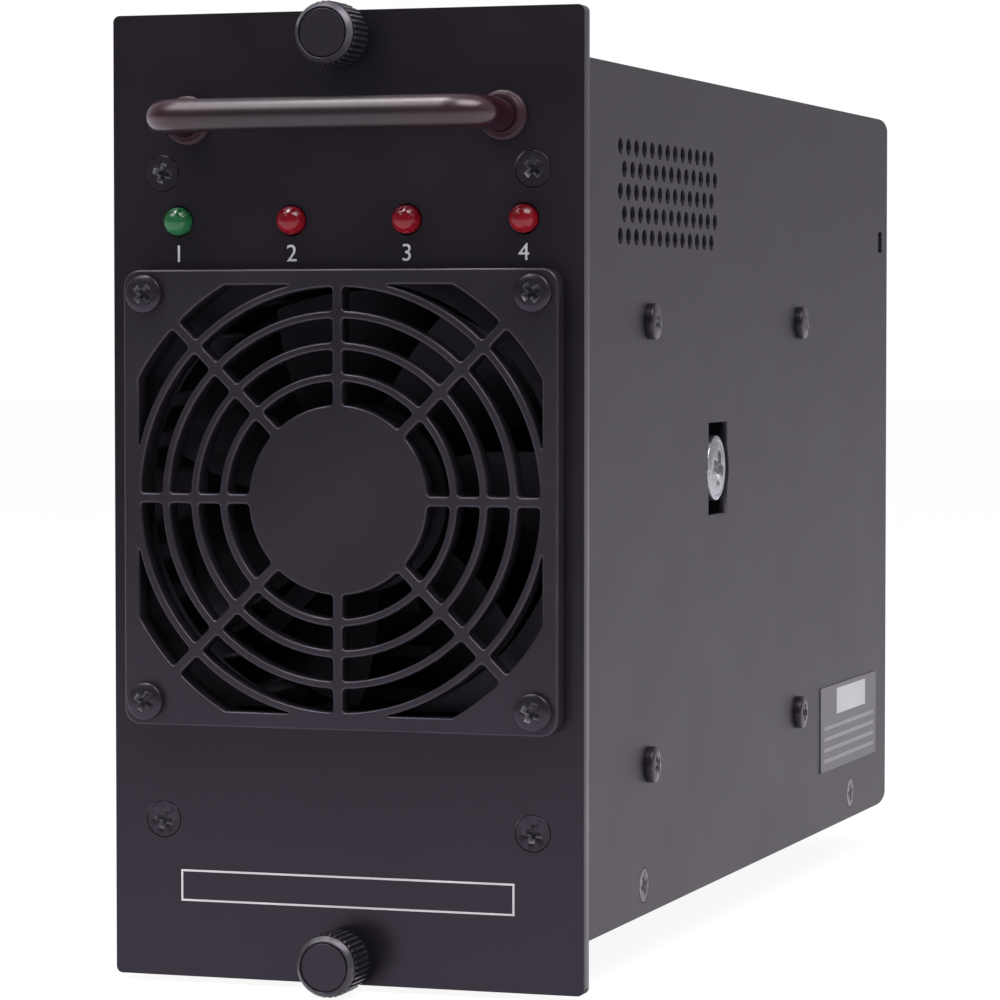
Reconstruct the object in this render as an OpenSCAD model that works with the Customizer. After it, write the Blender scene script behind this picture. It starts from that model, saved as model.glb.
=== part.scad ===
// Plug-in radio-frequency power amplifier module: a fan-cooled case behind a rack panel.
// Origin: middle of the front panel's rear face. +X right, +Y into the case, +Z up. Millimetres.

/* [Front panel] */
// Width of the front panel
panel_w = 87; // [85:0.5:110]
// Height of the front panel
panel_h = 169.5; // [164:0.5:220]
// Thickness of the front panel
panel_t = 3; // [2:0.1:5]
// Radius of the front panel's corners
panel_corner_r = 1.2; // [0.4:0.1:4]
// Distance from the case's folded side flanges in to the flush panel screws
panel_screw_side = 4.75; // [4:0.05:9]
// Shift of the flush panel screws from the middle row between the fan and the case's top
panel_screw_lift = -0.3; // [-1:0.05:1]

/* [Case] */
// Gap between the fan and the case's side walls
fan_side_gap = 0.65; // [0.4:0.05:3]
// Depth of the case behind the panel
case_d = 229.5; // [222:0.5:320]
// Thickness of the folded sheet
sheet_t = 1.6; // [1:0.1:1.9]
// Inside length of the rounded lead-in at the rear corners
lead_inner_l = 6.4; // [3:0.1:10]
// Inside height of the rounded lead-in at the rear corners
lead_inner_h = 0.8; // [0.4:0.1:2]
// Play around screws in their holes
screw_play = 0.15; // [0.05:0.05:0.3]

/* [Fan] */
// Width and height of the fan frame
fan_size = 80; // [70:1:81]
// Thickness of the fan frame
fan_t = 25; // [20:0.5:32]
// Distance of the fan's screw holes from its edges
fan_hole_inset = 4.25; // [4:0.05:5]
// Wall between the fan's bore and its side
fan_wall = 2; // [1.5:0.1:3]
// Diameter of the fan's hub
hub_d = 34; // [30:0.5:40]
// Number of fan blades
blade_count = 7; // [5:1:9]
// Thickness of a fan blade
blade_t = 1.4; // [1:0.1:2]
// Slant of the fan blades from the fan's face
blade_slant = 38; // [25:1:50]
// Air gap at the blade tips
blade_tip_gap = 1.2; // [0.6:0.1:2]
// Diameter of the fan shaft
fan_shaft_d = 3; // [2:0.1:4]
// Diameter of the fan screws
fan_screw_d = 3.5; // [3:0.1:4]

/* [Fan guard] */
// Thickness of the guard
guard_t = 4; // [2.5:0.1:6]
// Radius of the guard's corners
guard_corner_r = 3; // [1:0.1:6]
// Width of the guard's rim at its sides
guard_rim = 2.8; // [2.2:0.1:4]
// Reach of the corner openings past half the guard's width
guard_corner_reach = 2.7; // [1:0.1:4]
// Diameter of the guard's middle disc
guard_disc_d = 33; // [26:0.5:40]
// Number of rings around the disc
guard_rings = 4; // [2:1:5]
// Width of a ring
ring_w = 1.4; // [1:0.1:2]
// Distance from the guard's edge to the outer ring
ring_margin = 1.75; // [1:0.05:4]
// Number of spokes
spoke_count = 8; // [4:4:12]
// Width of a spoke
spoke_w = 1.8; // [1.2:0.1:3]

/* [Screw heads] */
// Diameter of the pan heads
pan_head_d = 6.6; // [6:0.1:8]
// Height of the pan heads
pan_head_h = 1.7; // [1.5:0.1:3]
// Flatness of the pan heads' dome
pan_flatness = 2.2; // [1:0.1:4]
// Diameter of the flush heads
flush_head_d = 6.3; // [5.6:0.1:7.6]
// Depth of the flush heads' cone
flush_head_h = 1.5; // [1.2:0.1:1.9]
// Diameter of the case screws
case_screw_d = 3.5; // [3:0.1:4]
// Span of the cross recess
recess_span = 3.8; // [2.5:0.1:4.5]
// Width of the cross recess
recess_w = 1.2; // [0.7:0.1:1.3]
// Depth of the cross recess
recess_depth = 1.3; // [0.8:0.1:1.5]

/* [LEDs] */
// Diameter of the LEDs
led_d = 5; // [3:0.1:5.5]
// Distance from the case's folded side flanges in to the end LEDs
led_side = 7.145; // [5:0.005:16]
// Sideways shift of the LED row from the panel's middle
led_shift = 0.8; // [-1:0.1:1]
// Shift of the LEDs from the lowest row between the fan and the case's top
led_lift = -0.15; // [-1:0.05:1]
// How far the LEDs stand out of the panel
led_proud = 3; // [2.8:0.1:4]
// Gap from the bulkhead to the LED board
led_board_gap = 6; // [4:0.5:9]

/* [Handle] */
// Diameter of the handle bar
handle_d = 5.7; // [4:0.1:6.5]
// Distance between the handle's legs
handle_pitch = 58.2; // [40:0.1:62]
// Distance from the panel to the bar's centre line
handle_reach = 16.2; // [12:0.1:30]
// Bend radius of the bar's centre line
handle_bend_r = 5.5; // [4:0.1:9]
// Shift of the handle from the highest row between the fan and the case's top
handle_lift = 0.2; // [-1:0.05:1]
// Diameter of the ferrules at the handle's feet
ferrule_d = 8.5; // [7.5:0.1:10]
// Height of the ferrules
ferrule_h = 2.4; // [1.5:0.1:4]

/* [Thumbscrews] */
// Distance from the panel's edge to the thumbscrews
thumb_inset = 4.55; // [4.2:0.05:4.9]
// Diameter of the knobs
knob_d = 11.1; // [9:0.1:14]
// Length of the knobs
knob_len = 8.3; // [7:0.1:14]
// Depth of the chamfer on the knob's front edge
knob_chamfer = 0.9; // [0.4:0.1:1.5]
// Number of grooves in the knob's grip
knurl_count = 30; // [18:1:40]
// Depth of the grooves in the knob's grip
knurl_depth = 0.45; // [0.2:0.05:0.7]
// Diameter of the screw's relieved neck
neck_d = 3.8; // [3.2:0.1:4.2]
// Outside diameter of the screw's thread
thread_d = 5; // [4.5:0.1:5.5]
// Length of the screw's thread
thread_len = 8; // [6:0.5:14]
// Thread pitch
thread_pitch = 0.8; // [0.5:0.05:1]
// Turns from tight to free
thumb_turns = 6; // [3:1:8]
// Height of the bush's flange in front of the panel
bush_flange_h = 2.4; // [1.5:0.1:4]
// Running gap between the turning screw and what holds it
thumb_gap = 0.3; // [0.3:0.05:0.4]
// Gap between the retaining rings and the case
thumb_case_gap = 0.6; // [0.3:0.05:2]

/* [Side cover] */
// Diameter of the vent holes
vent_d = 3; // [2:0.1:3.4]
// Distance between vent holes along a row
vent_pitch = 5; // [4.5:0.1:6]
// Distance between vent rows
vent_row_pitch = 3.95; // [3.7:0.05:5]
// Vent holes in a row
vent_cols = 13; // [6:1:16]
// Vent rows
vent_rows = 5; // [3:1:6]
// First vent hole behind the panel
vent_front = 22.5; // [18:0.5:40]
// Top vent row below the case's top
vent_drop = 14.4; // [10:0.1:20]
// Width of the keyhole slot's straight part
slot_w = 13.4; // [12.8:0.1:15]
// Height of the keyhole slot
slot_h = 17.6; // [16.5:0.1:22]
// Diameter of the keyhole slot's round part
slot_d = 15.7; // [15:0.1:18]
// Height of the folded flanges along the cover's and tray's long edges
flange_h = 13; // [11:0.5:15]
// First flush screw behind the panel
flush_front = 37.8; // [30:0.1:50]
// Last flush screw before the case's rear edge
flush_rear = 33.1; // [30:0.1:45]
// Flush screws' distance from the case's bottom or top edge
flush_rise = 5.4; // [5:0.1:7]
// Tab slot's distance from the case's rear edge
tab_rear = 6.8; // [5:0.1:8]
// Tab slot's width
tab_w = 3.5; // [2.5:0.1:4]
// Tab slot's height
tab_h = 4.5; // [3.5:0.1:8]
// Tab slot's distance below the case's top
tab_drop = 27.2; // [20:0.1:32]
// Length of the label plate
label_l = 50; // [30:0.5:56]
// Height of the label plate
label_h = 18; // [10:0.5:20]
// Thickness of the label plate
label_t = 0.3; // [0.2:0.05:0.6]
// Label plate's distance from the case's rear edge
label_rear = 10.5; // [9:0.5:16]
// Label plate's height above the case's bottom
label_rise = 12.2; // [11:0.1:16]

/* [Heat sink] */
// Gap from the fan to the heat sink
sink_front_gap = 8; // [6:0.5:14]
// Gap from the heat sink to the case's rear edge
sink_rear_gap = 30; // [29:0.5:45]
// Thickness of the heat sink's base
sink_base_t = 6; // [5:0.5:9]
// Distance from the case's middle plane to the base's board side
sink_face_x = 10; // [7:0.5:12]
// Length of the fins
fin_l = 36; // [24:0.5:38]
// Thickness of the fins
fin_t = 2; // [1:0.1:3]
// Number of fins
fin_count = 15; // [7:1:21]
// Height of the base left plain above and below the fins
fin_end = 13.4; // [6:0.1:16]
// Space between the base's top edge and the case's top
sink_head_room = 12; // [8:0.5:14]
// Front spacers' distance from the heat sink's front
spacer_inset = 6.5; // [5:0.1:10]
// Rear spacers' distance from the heat sink's rear end
spacer_rear = 49.7; // [46:0.1:60]
// Upper spacers' distance below the case's top
spacer_drop = 45.2; // [36:0.1:50]
// Lower spacers' distance above the case's bottom
spacer_rise = 27; // [22:0.1:34]
// Width of the hex spacers across corners
spacer_d = 7.2; // [6.5:0.1:8]
// Ground post's distance behind the front spacers
ground_back = 46.4; // [42:0.1:50]
// Ground post's height above the case's middle
ground_z = 3.1; // [-2:0.1:6]
// Diameter of the ground post
post_d = 12; // [9:0.5:12.5]
// Diameter of the ground screw's head
ground_head_d = 12.5; // [10:0.1:12.6]
// Height of the ground screw's head
ground_head_h = 4; // [3:0.1:5]
// How far the ground screw's head stands out of the slot
ground_proud = 0.3; // [0:0.1:1]
// Diameter of the ground screw
ground_screw_d = 6.2; // [4:0.1:6.4]

/* [Boards] */
// Thickness of the circuit boards
board_t = 1.6; // [1:0.1:2]
// Margin from the spacers to the boards' edges
board_margin = 8; // [6:0.5:10]
// Space between the control board and the case's side wall
control_room = 13.05; // [11:0.05:16]
// Diameter of the board standoffs
standoff_d = 5; // [4:0.1:5.5]
// Standoffs' distance from the boards' edges
standoff_inset = 4.5; // [4:0.1:6]
// Length of the transistors' flange
transistor_l = 20; // [16:0.5:22]
// Width of the transistors' flange
transistor_w = 10; // [8:0.5:11]
// Distance between the transistors
transistor_pitch = 40; // [28:0.5:44]
// Transistors' drop below the boards' middle
transistor_drop = 13; // [11:0.5:15]
// Width of the isolator
isolator_w = 28; // [20:0.5:30]
// Height of the isolator
isolator_h = 10; // [8:0.5:14]
// Isolator's distance from the heat sink's rear end
isolator_rear = 11; // [8:0.5:12]

/* [Rear panel] */
// Depth of the rear panel's side flanges
rear_flange_d = 14; // [11:0.5:16]
// Diameter of the exhaust holes
exhaust_d = 4.2; // [3:0.1:5]
// Distance between exhaust holes
exhaust_pitch = 7; // [6:0.1:7.4]
// Exhaust holes in a row
exhaust_cols = 9; // [5:1:9]
// Exhaust rows
exhaust_rows = 6; // [3:1:6]
// RF connectors' distance below the rear panel's top edge
rf_drop = 26.8; // [18:0.1:30]
// Sideways distance of each RF connector from the middle
rf_x = 20; // [16:0.5:24]
// Width of the output connector's flange
output_flange_w = 25.4; // [22:0.1:27]
// Diameter of the output connector's thread
output_thread_d = 15.88; // [12:0.02:16]
// Length of the output connector's thread
output_thread_l = 11; // [8:0.1:14]
// Width of the input connector's flange
input_flange_w = 12.7; // [11:0.1:16]
// Diameter of the input connector's thread
input_thread_d = 6.35; // [5:0.01:7]
// Length of the input connector's thread
input_thread_l = 8; // [6:0.1:12]
// Height of the DC connector above the alarm connector
dc_rise = 23; // [20:0.5:26]
// Width of the DC connector
dc_w = 26; // [22:0.5:30]
// Height of the DC connector's body
dc_h = 14; // [12:0.5:16]
// Height of the alarm connector above the rear panel's bottom edge
alarm_rise = 16.8; // [12:0.1:20]
// Width of the alarm connector's flange
alarm_w = 30.8; // [28:0.1:34]

/* [Cables] */
// Diameter of the coax jumpers
coax_d = 3.6; // [2.2:0.1:4]
// Diameter of the DC leads
dc_lead_d = 2.4; // [1.6:0.1:3]
// Diameter of the fan lead
fan_lead_d = 1.6; // [1:0.1:1.6]

/* [Hidden] */
$fn = 48;

// Case faces
retainer_r = 3.4;
inner_x = fan_size / 2 + fan_side_gap;
wall_x = inner_x + sheet_t;
top_z = panel_h / 2 - thumb_inset - retainer_r - thumb_case_gap;
ceiling_z = top_z - sheet_t;
floor_z = -ceiling_z;
rear_y = case_d - sheet_t;
lead_l = lead_inner_l + sheet_t;
lead_h = lead_inner_h + sheet_t;
lead_z = top_z - lead_h;
flange_x = inner_x - sheet_t;
tap_r = case_screw_d / 2;
tap_reach = 3;
air_play = 0.6;
guard_join = 0.3;

// Fan and guard places
fan_y0 = sheet_t;
fan_y1 = fan_y0 + fan_t;
fan_hole = fan_size / 2 - fan_hole_inset;
fan_bore_r = fan_size / 2 - fan_wall;
guard_y0 = -panel_t - guard_t;
ring_outer_r = fan_size / 2 - ring_margin;
ring_pitch = (ring_outer_r - guard_disc_d / 2) / guard_rings;
fan_flange_t = 3.5;
fan_base_t = 2;
fan_strut_t = 3;
fan_strut_w = 4;
hub_wall = 1.5;
hub_front_gap = 1;
hub_rear_gap = 1;
hub_y0 = fan_y0 + hub_front_gap;
hub_y1 = fan_y1 - fan_strut_t - hub_rear_gap;
blade_front_gap = 1.5;
blade_rear_gap = 0.5;
blade_y0 = hub_y0 + blade_front_gap;
blade_y1 = hub_y1 - blade_rear_gap;
bearing_wall = 2.5;
bearing_r = fan_shaft_d / 2 + bearing_wall;
bearing_tube_wall = 1;
bearing_tube_r = bearing_r + bearing_tube_wall;
bearing_l = 4;
bearing_play = 0.05;
rotor_boss_l = 2.4;
rotor_boss_wall = 2;
rotor_boss_gap = 0.6;
rotor_boss_y1 = hub_y0 + hub_wall + rotor_boss_l;
bearing_tube_y0 = rotor_boss_y1 + rotor_boss_gap;
shaft_end_gap = 0.3;
stator_gap = 1;
nut_t = 2.4;
nut_d = 7.35;
nut_screw_end = 1;

// Front rows of screws and lamps, spread between the fan's edge and the case's top
row_step = (ceiling_z - fan_size / 2) / 4;
led_z = fan_size / 2 + row_step + led_lift;
panel_screw_z = fan_size / 2 + 2 * row_step + panel_screw_lift;
handle_z = fan_size / 2 + 3 * row_step + handle_lift;
panel_screw_x = flange_x - panel_screw_side;
clinch_wall = 1.5;
clinch_short = 0.5;
led_pitch = 2 * (flange_x - led_side) / 3;
led_xs = [for (i = [0:3]) led_shift + (i - 1.5) * led_pitch];
led_places = [for (x = led_xs) [x, led_z]];
led_flange_t = 1;
led_flange_step = 0.5;
led_play = 0.25;
led_lead_x = 1.27;
led_lead_r = 0.3;
led_board_y = sheet_t + led_board_gap;
led_board_side = 1.4;
led_board_x = flange_x - led_board_side;
led_board_margin = 2.5;
led_board_h = led_d + 2 * led_board_margin;
led_standoff_places = [for (s = [-1, 1]) [led_shift + s * led_pitch, led_z]];
handle_x = handle_pitch / 2;
handle_places = [[-handle_x, handle_z], [handle_x, handle_z]];
bar_y = -panel_t - handle_reach;
handle_screw_d = 3;
handle_screw_bite = 6;
handle_head_d = 6;
handle_head_h = 2.2;
ferrule_taper = 0.7;

// Thumbscrew places along Y
thumb_z = panel_h / 2 - thumb_inset;
thumb_places = [[0, thumb_z], [0, -thumb_z]];
thumb_travel = thumb_turns * thread_pitch;
bush_body_r = 3.9;
bush_flange_r = 4.4;
neck_r = neck_d / 2;
guide_r = neck_r + thumb_gap;
knob_y1 = -panel_t - bush_flange_h - thumb_gap;
knob_y0 = knob_y1 - knob_len;
knob_skin = 3;
knob_lip = 0.3;
knob_lip_l = 0.5;
retainer_t = 0.8;
retainer_stop = 0.4;
retainer_y0 = thumb_travel + retainer_stop;
thread_y0 = retainer_y0 + retainer_t + thumb_gap;
thread_tip = 0.6;

// Heat sink and what stands on it
sink_y0 = fan_y1 + sink_front_gap;
sink_y1 = case_d - sink_rear_gap;
sink_back_x = sink_face_x - sink_base_t;
sink_top_z = top_z - sink_head_room;
fin_z0 = floor_z + fin_end;
fin_pitch = (sink_top_z - fin_end - fin_z0) / (fin_count - 1);
fin_root = 0.5;
sink_tap = 4;
spacer_ys = [sink_y0 + spacer_inset, sink_y1 - spacer_rear];
spacer_zs = [top_z - spacer_drop, spacer_rise - top_z];
spacer_places = [for (y = spacer_ys, z = spacer_zs) [y, z]];
spacer_stud_d = 3;
spacer_stud_l = 4;
spacer_bite = 6;
sink_foot_pitch = 60;
sink_foot_ys = [for (i = [-1, 0, 1]) (sink_y0 + sink_y1) / 2 + i * sink_foot_pitch];
sink_foot_bite = 8;
ground_y = spacer_ys[0] + ground_back;
ground_head_x = wall_x + ground_proud - ground_head_h;
ground_washer_t = 1.2;
ground_washer_rim = 1;
ground_washer_d = ground_head_d + 2 * ground_washer_rim;
ground_bite = 10;
post_x1 = ground_head_x - ground_washer_t;

// Board outlines between the spacers
board_y0 = spacer_ys[0] + board_margin;
board_y1 = spacer_ys[1] - board_margin;
board_z0 = spacer_zs[1] + board_margin;
board_z1 = spacer_zs[0] - board_margin;
board_yc = (board_y0 + board_y1) / 2;
board_zc = (board_z0 + board_z1) / 2;
rf_board_x1 = sink_face_x + board_t;
control_x0 = inner_x - control_room;
control_x1 = control_x0 + board_t;
standoff_ys = [board_y0 + standoff_inset, board_y1 - standoff_inset];
standoff_zs = [board_z0 + standoff_inset, board_z1 - standoff_inset];
standoff_places = [for (y = standoff_ys, z = standoff_zs) [y, z]];
standoff_play = 0.3;
post_play = 1;
board_screw_d = 2.5;
board_head_d = 5;
board_head_h = 1.8;
board_bite = 5;
transistor_ys = [board_yc - transistor_pitch / 2, board_yc + transistor_pitch / 2];
transistor_z = board_zc - transistor_drop;
transistor_flange_t = 2.4;
transistor_cap_l = 11;
transistor_cap_t = 3;
transistor_cap_inset = 0.5;
transistor_screw_inset = 2.25;
transistor_screw_x = transistor_l / 2 - transistor_screw_inset;
flat_head_d = 4;
transistor_screw_places = [for (y = transistor_ys, s = [-1, 1]) [y + s * transistor_screw_x, transistor_z]];
isolator_y = sink_y1 - isolator_rear - isolator_w / 2;
isolator_can_h = 4;
isolator_can_inset = 4;
isolator_base_h = isolator_h - isolator_can_h;
isolator_screw_inset = 3;
isolator_screw_x = isolator_w / 2 - isolator_screw_inset;
isolator_screw_corners = corners(isolator_screw_x, isolator_screw_x);
isolator_screw_places = [for (c = isolator_screw_corners) [isolator_y + c[0], ground_z + c[1]]];

// Rear panel places
tab_z = top_z - tab_drop;
rf_z = lead_z - rf_drop;
alarm_z = alarm_rise - lead_z;
dc_z = alarm_z + dc_rise;
exhaust_z = (dc_z + dc_h / 2 + rf_z - output_flange_w / 2) / 2;
rear_flange_end = 2;
rear_screw_rear = 8;
rear_screw_places = [for (s = [-1, 1]) [case_d - rear_screw_rear, s * tab_z]];
output_flange_t = 3;
output_screw_inset = 3.6;
output_screw_pitch = output_flange_w - 2 * output_screw_inset;
input_flange_t = 1.6;
input_screw_inset = 2.05;
input_screw_pitch = input_flange_w - 2 * input_screw_inset;
connector_screw_d = 2.5;
connector_head_d = 3.9;
connector_head_h = 1.6;
rf_inner_r = 4.5;
rf_inner_l = 7;
dc_proud = 9;
dc_inner_l = 6;
dc_pin_pitch = 12;
dc_socket_d = 3.6;
dc_socket_l = 8;
dc_screw_side = 4;
dc_screw_pitch = dc_w + 2 * dc_screw_side;
dc_ear_t = 2;
alarm_h = 12.5;
alarm_flange_t = 1;
alarm_pin_pitch = 2.77;
alarm_pin_row = 1.42;
alarm_pin_r = 0.6;
alarm_screw_inset = 2.9;
alarm_screw_pitch = alarm_w - 2 * alarm_screw_inset;
alarm_shell_w = 17;
alarm_shell_h = 8.4;
alarm_proud = 6;
alarm_inner_l = 8;
coax_sink_gap = 8;
coax_step = 1;
coax_rise = 11;
dc_lead_back = 9;
dc_lead_step = 5;
dc_lead_rise = 8;
fan_lead_rise = 9;
fan_lead_back = 5;

// Parts soldered on the control board
capacitor_d = 8;
capacitor_h = 7;
capacitor_pitch = 11;
capacitor_rear = 10.35;
capacitor_drop = 18;
chip_w = 10;
chip_h = 2;
chip_back = 17;
chip_lift = 9;
header_w = 5;
header_l = 18;
header_inset = 4;
header_drop = 6;

function corners(dx, dz) = [for (sx = [-1, 1], sz = [-1, 1]) [sx * dx, sz * dz]];

// Flat shape drawn in X and Z, filled from y0 to y1
module plate_y(y0, y1) {
    translate([0, y1, 0])
        rotate([90, 0, 0])
            linear_extrude(height = y1 - y0)
                children();
}

// Flat shape drawn in Y and Z, filled from x0 to x1
module plate_x(x0, x1) {
    translate([x0, 0, 0])
        rotate([90, 0, 90])
            linear_extrude(height = x1 - x0)
                children();
}

module rod_y(r, y0, y1) {
    translate([0, y0, 0])
        rotate([-90, 0, 0])
            cylinder(r = r, h = y1 - y0);
}

module rod_x(r, x0, x1) {
    translate([x0, 0, 0])
        rotate([0, 90, 0])
            cylinder(r = r, h = x1 - x0);
}

module ring_y(r_out, r_in, y0, y1) {
    difference() {
        rod_y(r_out, y0, y1);
        rod_y(r_in, y0 - 1, y1 + 1);
    }
}

module at_xz(points) {
    for (p = points)
        translate([p[0], 0, p[1]])
            children();
}

module at_yz(points) {
    for (p = points)
        translate([0, p[0], p[1]])
            children();
}

// Box from x0 to x1, centred on Y and Z
module slab(x0, x1, len_y, len_z) {
    translate([x0, -len_y / 2, -len_z / 2])
        cube([x1 - x0, len_y, len_z]);
}

// Box from y0 to y1, centred on X and Z
module slab_y(y0, y1, len_x, len_z) {
    translate([-len_x / 2, y0, -len_z / 2])
        cube([len_x, y1 - y0, len_z]);
}

// Box between two corners
module block(low, high) {
    translate(low)
        cube(high - low);
}

module rounded_rect(w, h, r) {
    square([w - 2 * r, h], center = true);
    square([w, h - 2 * r], center = true);
    for (p = corners(w / 2 - r, h / 2 - r))
        translate(p)
            circle(r = r);
}

// Cross recess down from z = 0, sized to its head
module cross_recess(head_d) {
    share = head_d / pan_head_d;
    span = share * recess_span;
    w = share * recess_w;
    depth = share * recess_depth;
    translate([-span / 2, -w / 2, -depth])
        cube([span, w, depth + 1]);
    translate([-w / 2, -span / 2, -depth])
        cube([w, span, depth + 1]);
}

// Pan-head screw along +Z: the head stands on z = 0 and the shank runs down
module pan_screw(head_d, head_h, shank_d, shank_l) {
    dome_r = pan_flatness * (pow(head_d / 2, 2) + pow(head_h, 2)) / head_h;
    difference() {
        union() {
            intersection() {
                cylinder(d = head_d, h = head_h);
                translate([0, 0, head_h - dome_r])
                    sphere(r = dome_r);
            }
            translate([0, 0, -shank_l])
                cylinder(d = shank_d, h = shank_l + head_h / 4);
        }
        translate([0, 0, head_h])
            cross_recess(head_d);
    }
}

// Flush screw along +Z: the head's face lies on z = 0
module flush_screw(shank_l) {
    difference() {
        union() {
            translate([0, 0, -flush_head_h])
                cylinder(d1 = case_screw_d, d2 = flush_head_d, h = flush_head_h);
            translate([0, 0, -shank_l])
                cylinder(d = case_screw_d, h = shank_l - flush_head_h / 2);
        }
        cross_recess(flush_head_d);
    }
}

// Hole that takes a flush screw, along +Z: clear round its shank, or tapped to it with no play
module flush_hole(depth, play = screw_play) {
    translate([0, 0, -flush_head_h])
        cylinder(d1 = case_screw_d + 2 * play, d2 = flush_head_d + 2 * screw_play, h = flush_head_h);
    translate([0, 0, -depth - 1])
        cylinder(d = case_screw_d + 2 * play, h = depth + 1);
    cylinder(d = flush_head_d + 2 * screw_play, h = 1);
}

// Turn a shape made along +Z to face the front, the right side, the left side, the rear or the floor
module face_front() { rotate([90, 0, 0]) children(); }
module face_right() { rotate([0, 90, 0]) children(); }
module face_left() { rotate([0, -90, 0]) children(); }
module face_rear() { rotate([-90, 0, 0]) children(); }
module face_down() { rotate([180, 0, 0]) children(); }

// Round cable through a list of points, with ball corners
module cable(points, d) {
    for (i = [0:len(points) - 2]) {
        step = points[i + 1] - points[i];
        length = norm(step);
        translate(points[i])
            rotate([0, acos(step[2] / length), atan2(step[1], step[0])])
                cylinder(d = d, h = length);
    }
    for (i = [1:len(points) - 2])
        translate(points[i])
            sphere(d = d);
}

// Opening behind the guard: a square with its corners cut by a circle
module air_opening(grow) {
    intersection() {
        square(fan_size - 2 * guard_rim + 2 * grow, center = true);
        circle(r = fan_size / 2 + guard_corner_reach + grow);
    }
}

// Quarter of the lead-in's rounding, as points in Y and Z
function lead_arc(len_y, len_z, steps = 8) =
    [for (i = [0:steps]) [rear_y + sheet_t - lead_l + len_y * sin(90 * i / steps),
                          lead_z + len_z * cos(90 * i / steps)]];
function flipped(points) = [for (p = points) [p[0], -p[1]]];
function backward(points) = [for (i = [len(points) - 1:-1:0]) points[i]];

// Left wall in Y and Z, under the top sheet
module left_outline() {
    polygon(concat([[0, ceiling_z]], lead_arc(lead_inner_l, lead_inner_h), [[case_d, lead_z]],
                   backward(flipped(lead_arc(lead_l, lead_h))), [[0, -top_z]]));
}

// Right wall in Y and Z
module side_outline() {
    corner = lead_arc(lead_l, lead_h);
    polygon(concat([[0, top_z]], corner, backward(flipped(corner)), [[0, -top_z]]));
}

// Top sheet's section in Y and Z, with its rounded lead-in
module top_section() {
    polygon(concat([[0, top_z]], lead_arc(lead_l, lead_h),
                   backward(lead_arc(lead_inner_l, lead_inner_h)), [[0, ceiling_z]]));
}

module front_panel() {
    color("#26242a")
        difference() {
            plate_y(-panel_t, 0)
                rounded_rect(panel_w, panel_h, panel_corner_r);
            plate_y(-panel_t - 1, 1)
                air_opening(air_play);
            at_xz(corners(fan_hole, fan_hole))
                rod_y(fan_screw_d / 2 + screw_play, -panel_t - 1, 1);
            at_xz(corners(panel_screw_x, panel_screw_z))
                translate([0, -panel_t, 0])
                    face_front()
                        flush_hole(panel_t);
            at_xz(led_places)
                rod_y(led_d / 2 + led_play, -panel_t - 1, 1);
            at_xz(handle_places)
                rod_y(handle_screw_d / 2 + screw_play, -panel_t - 1, 1);
            at_xz(thumb_places)
                rod_y(bush_body_r, -panel_t - 1, 1);
        }
}

module panel_screws() {
    color("#1c1b1e")
        at_xz(corners(panel_screw_x, panel_screw_z))
            translate([0, -panel_t, 0])
                face_front()
                    flush_screw(panel_t + sheet_t + tap_reach);
}

module clinch_nuts() {
    color("#b9bcc0")
        at_xz(corners(panel_screw_x, panel_screw_z))
            ring_y(tap_r + clinch_wall, tap_r, sheet_t, sheet_t + tap_reach - clinch_short);
}

// Folded tabs that tie the bulkhead to the left wall and the floor
bulkhead_tab_d = 10;
bulkhead_tab_w = 20;
bulkhead_tab_gap = 4;
bulkhead_tab_z = fan_size / 2 + bulkhead_tab_gap + bulkhead_tab_w / 2;
bulkhead_rivet_y = sheet_t + bulkhead_tab_d / 2;
side_rivet_places = [for (s = [-1, 1]) [bulkhead_rivet_y, s * bulkhead_tab_z]];
rivet_d = 3.2;
rivet_head_d = 6;
rivet_head_h = 1;
rivet_head_taper = 1;
rivet_tail = 0.6;

module front_bulkhead() {
    color("#77797d")
        difference() {
            union() {
                block([-inner_x, 0, floor_z], [inner_x, sheet_t, ceiling_z]);
                for (s = [-1, 1])
                    translate([0, 0, s * bulkhead_tab_z])
                        block([-inner_x, 0, -bulkhead_tab_w / 2],
                              [-flange_x, sheet_t + bulkhead_tab_d, bulkhead_tab_w / 2]);
                for (s = [-1, 1])
                    translate([s * bulkhead_tab_w, 0, floor_z])
                        block([-bulkhead_tab_w / 2, 0, 0],
                              [bulkhead_tab_w / 2, sheet_t + bulkhead_tab_d, sheet_t]);
            }
            plate_y(-1, sheet_t + 1)
                air_opening(air_play);
            at_xz(corners(fan_hole, fan_hole))
                rod_y(fan_screw_d / 2 + screw_play, -1, sheet_t + 1);
            at_xz(corners(panel_screw_x, panel_screw_z))
                rod_y(case_screw_d / 2 + screw_play, -1, sheet_t + 1);
            at_xz(led_places)
                rod_y(led_d / 2 + led_play, -1, sheet_t + 1);
            at_xz(handle_places)
                rod_y(handle_screw_d / 2 + screw_play, -1, sheet_t + 1);
            at_yz(side_rivet_places)
                rod_x(rivet_d / 2, -wall_x - 1, -flange_x + 1);
            for (s = [-1, 1])
                translate([s * bulkhead_tab_w, bulkhead_rivet_y, floor_z - 1])
                    cylinder(d = rivet_d, h = sheet_t + 2);
        }
}

// Blind rivet along +Z: domed head on z = 0, set through two sheets
module rivet() {
    difference() {
        union() {
            cylinder(d1 = rivet_head_d, d2 = rivet_head_d - 2 * rivet_head_taper, h = rivet_head_h);
            translate([0, 0, -2 * sheet_t])
                cylinder(d = rivet_d, h = 2 * sheet_t + rivet_head_h / 2);
            translate([0, 0, -2 * sheet_t - rivet_head_h])
                cylinder(d = rivet_d + 2 * rivet_tail, h = rivet_head_h);
        }
        translate([0, 0, rivet_head_h / 2])
            cylinder(d = rivet_d / 2, h = rivet_head_h);
    }
}

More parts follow.
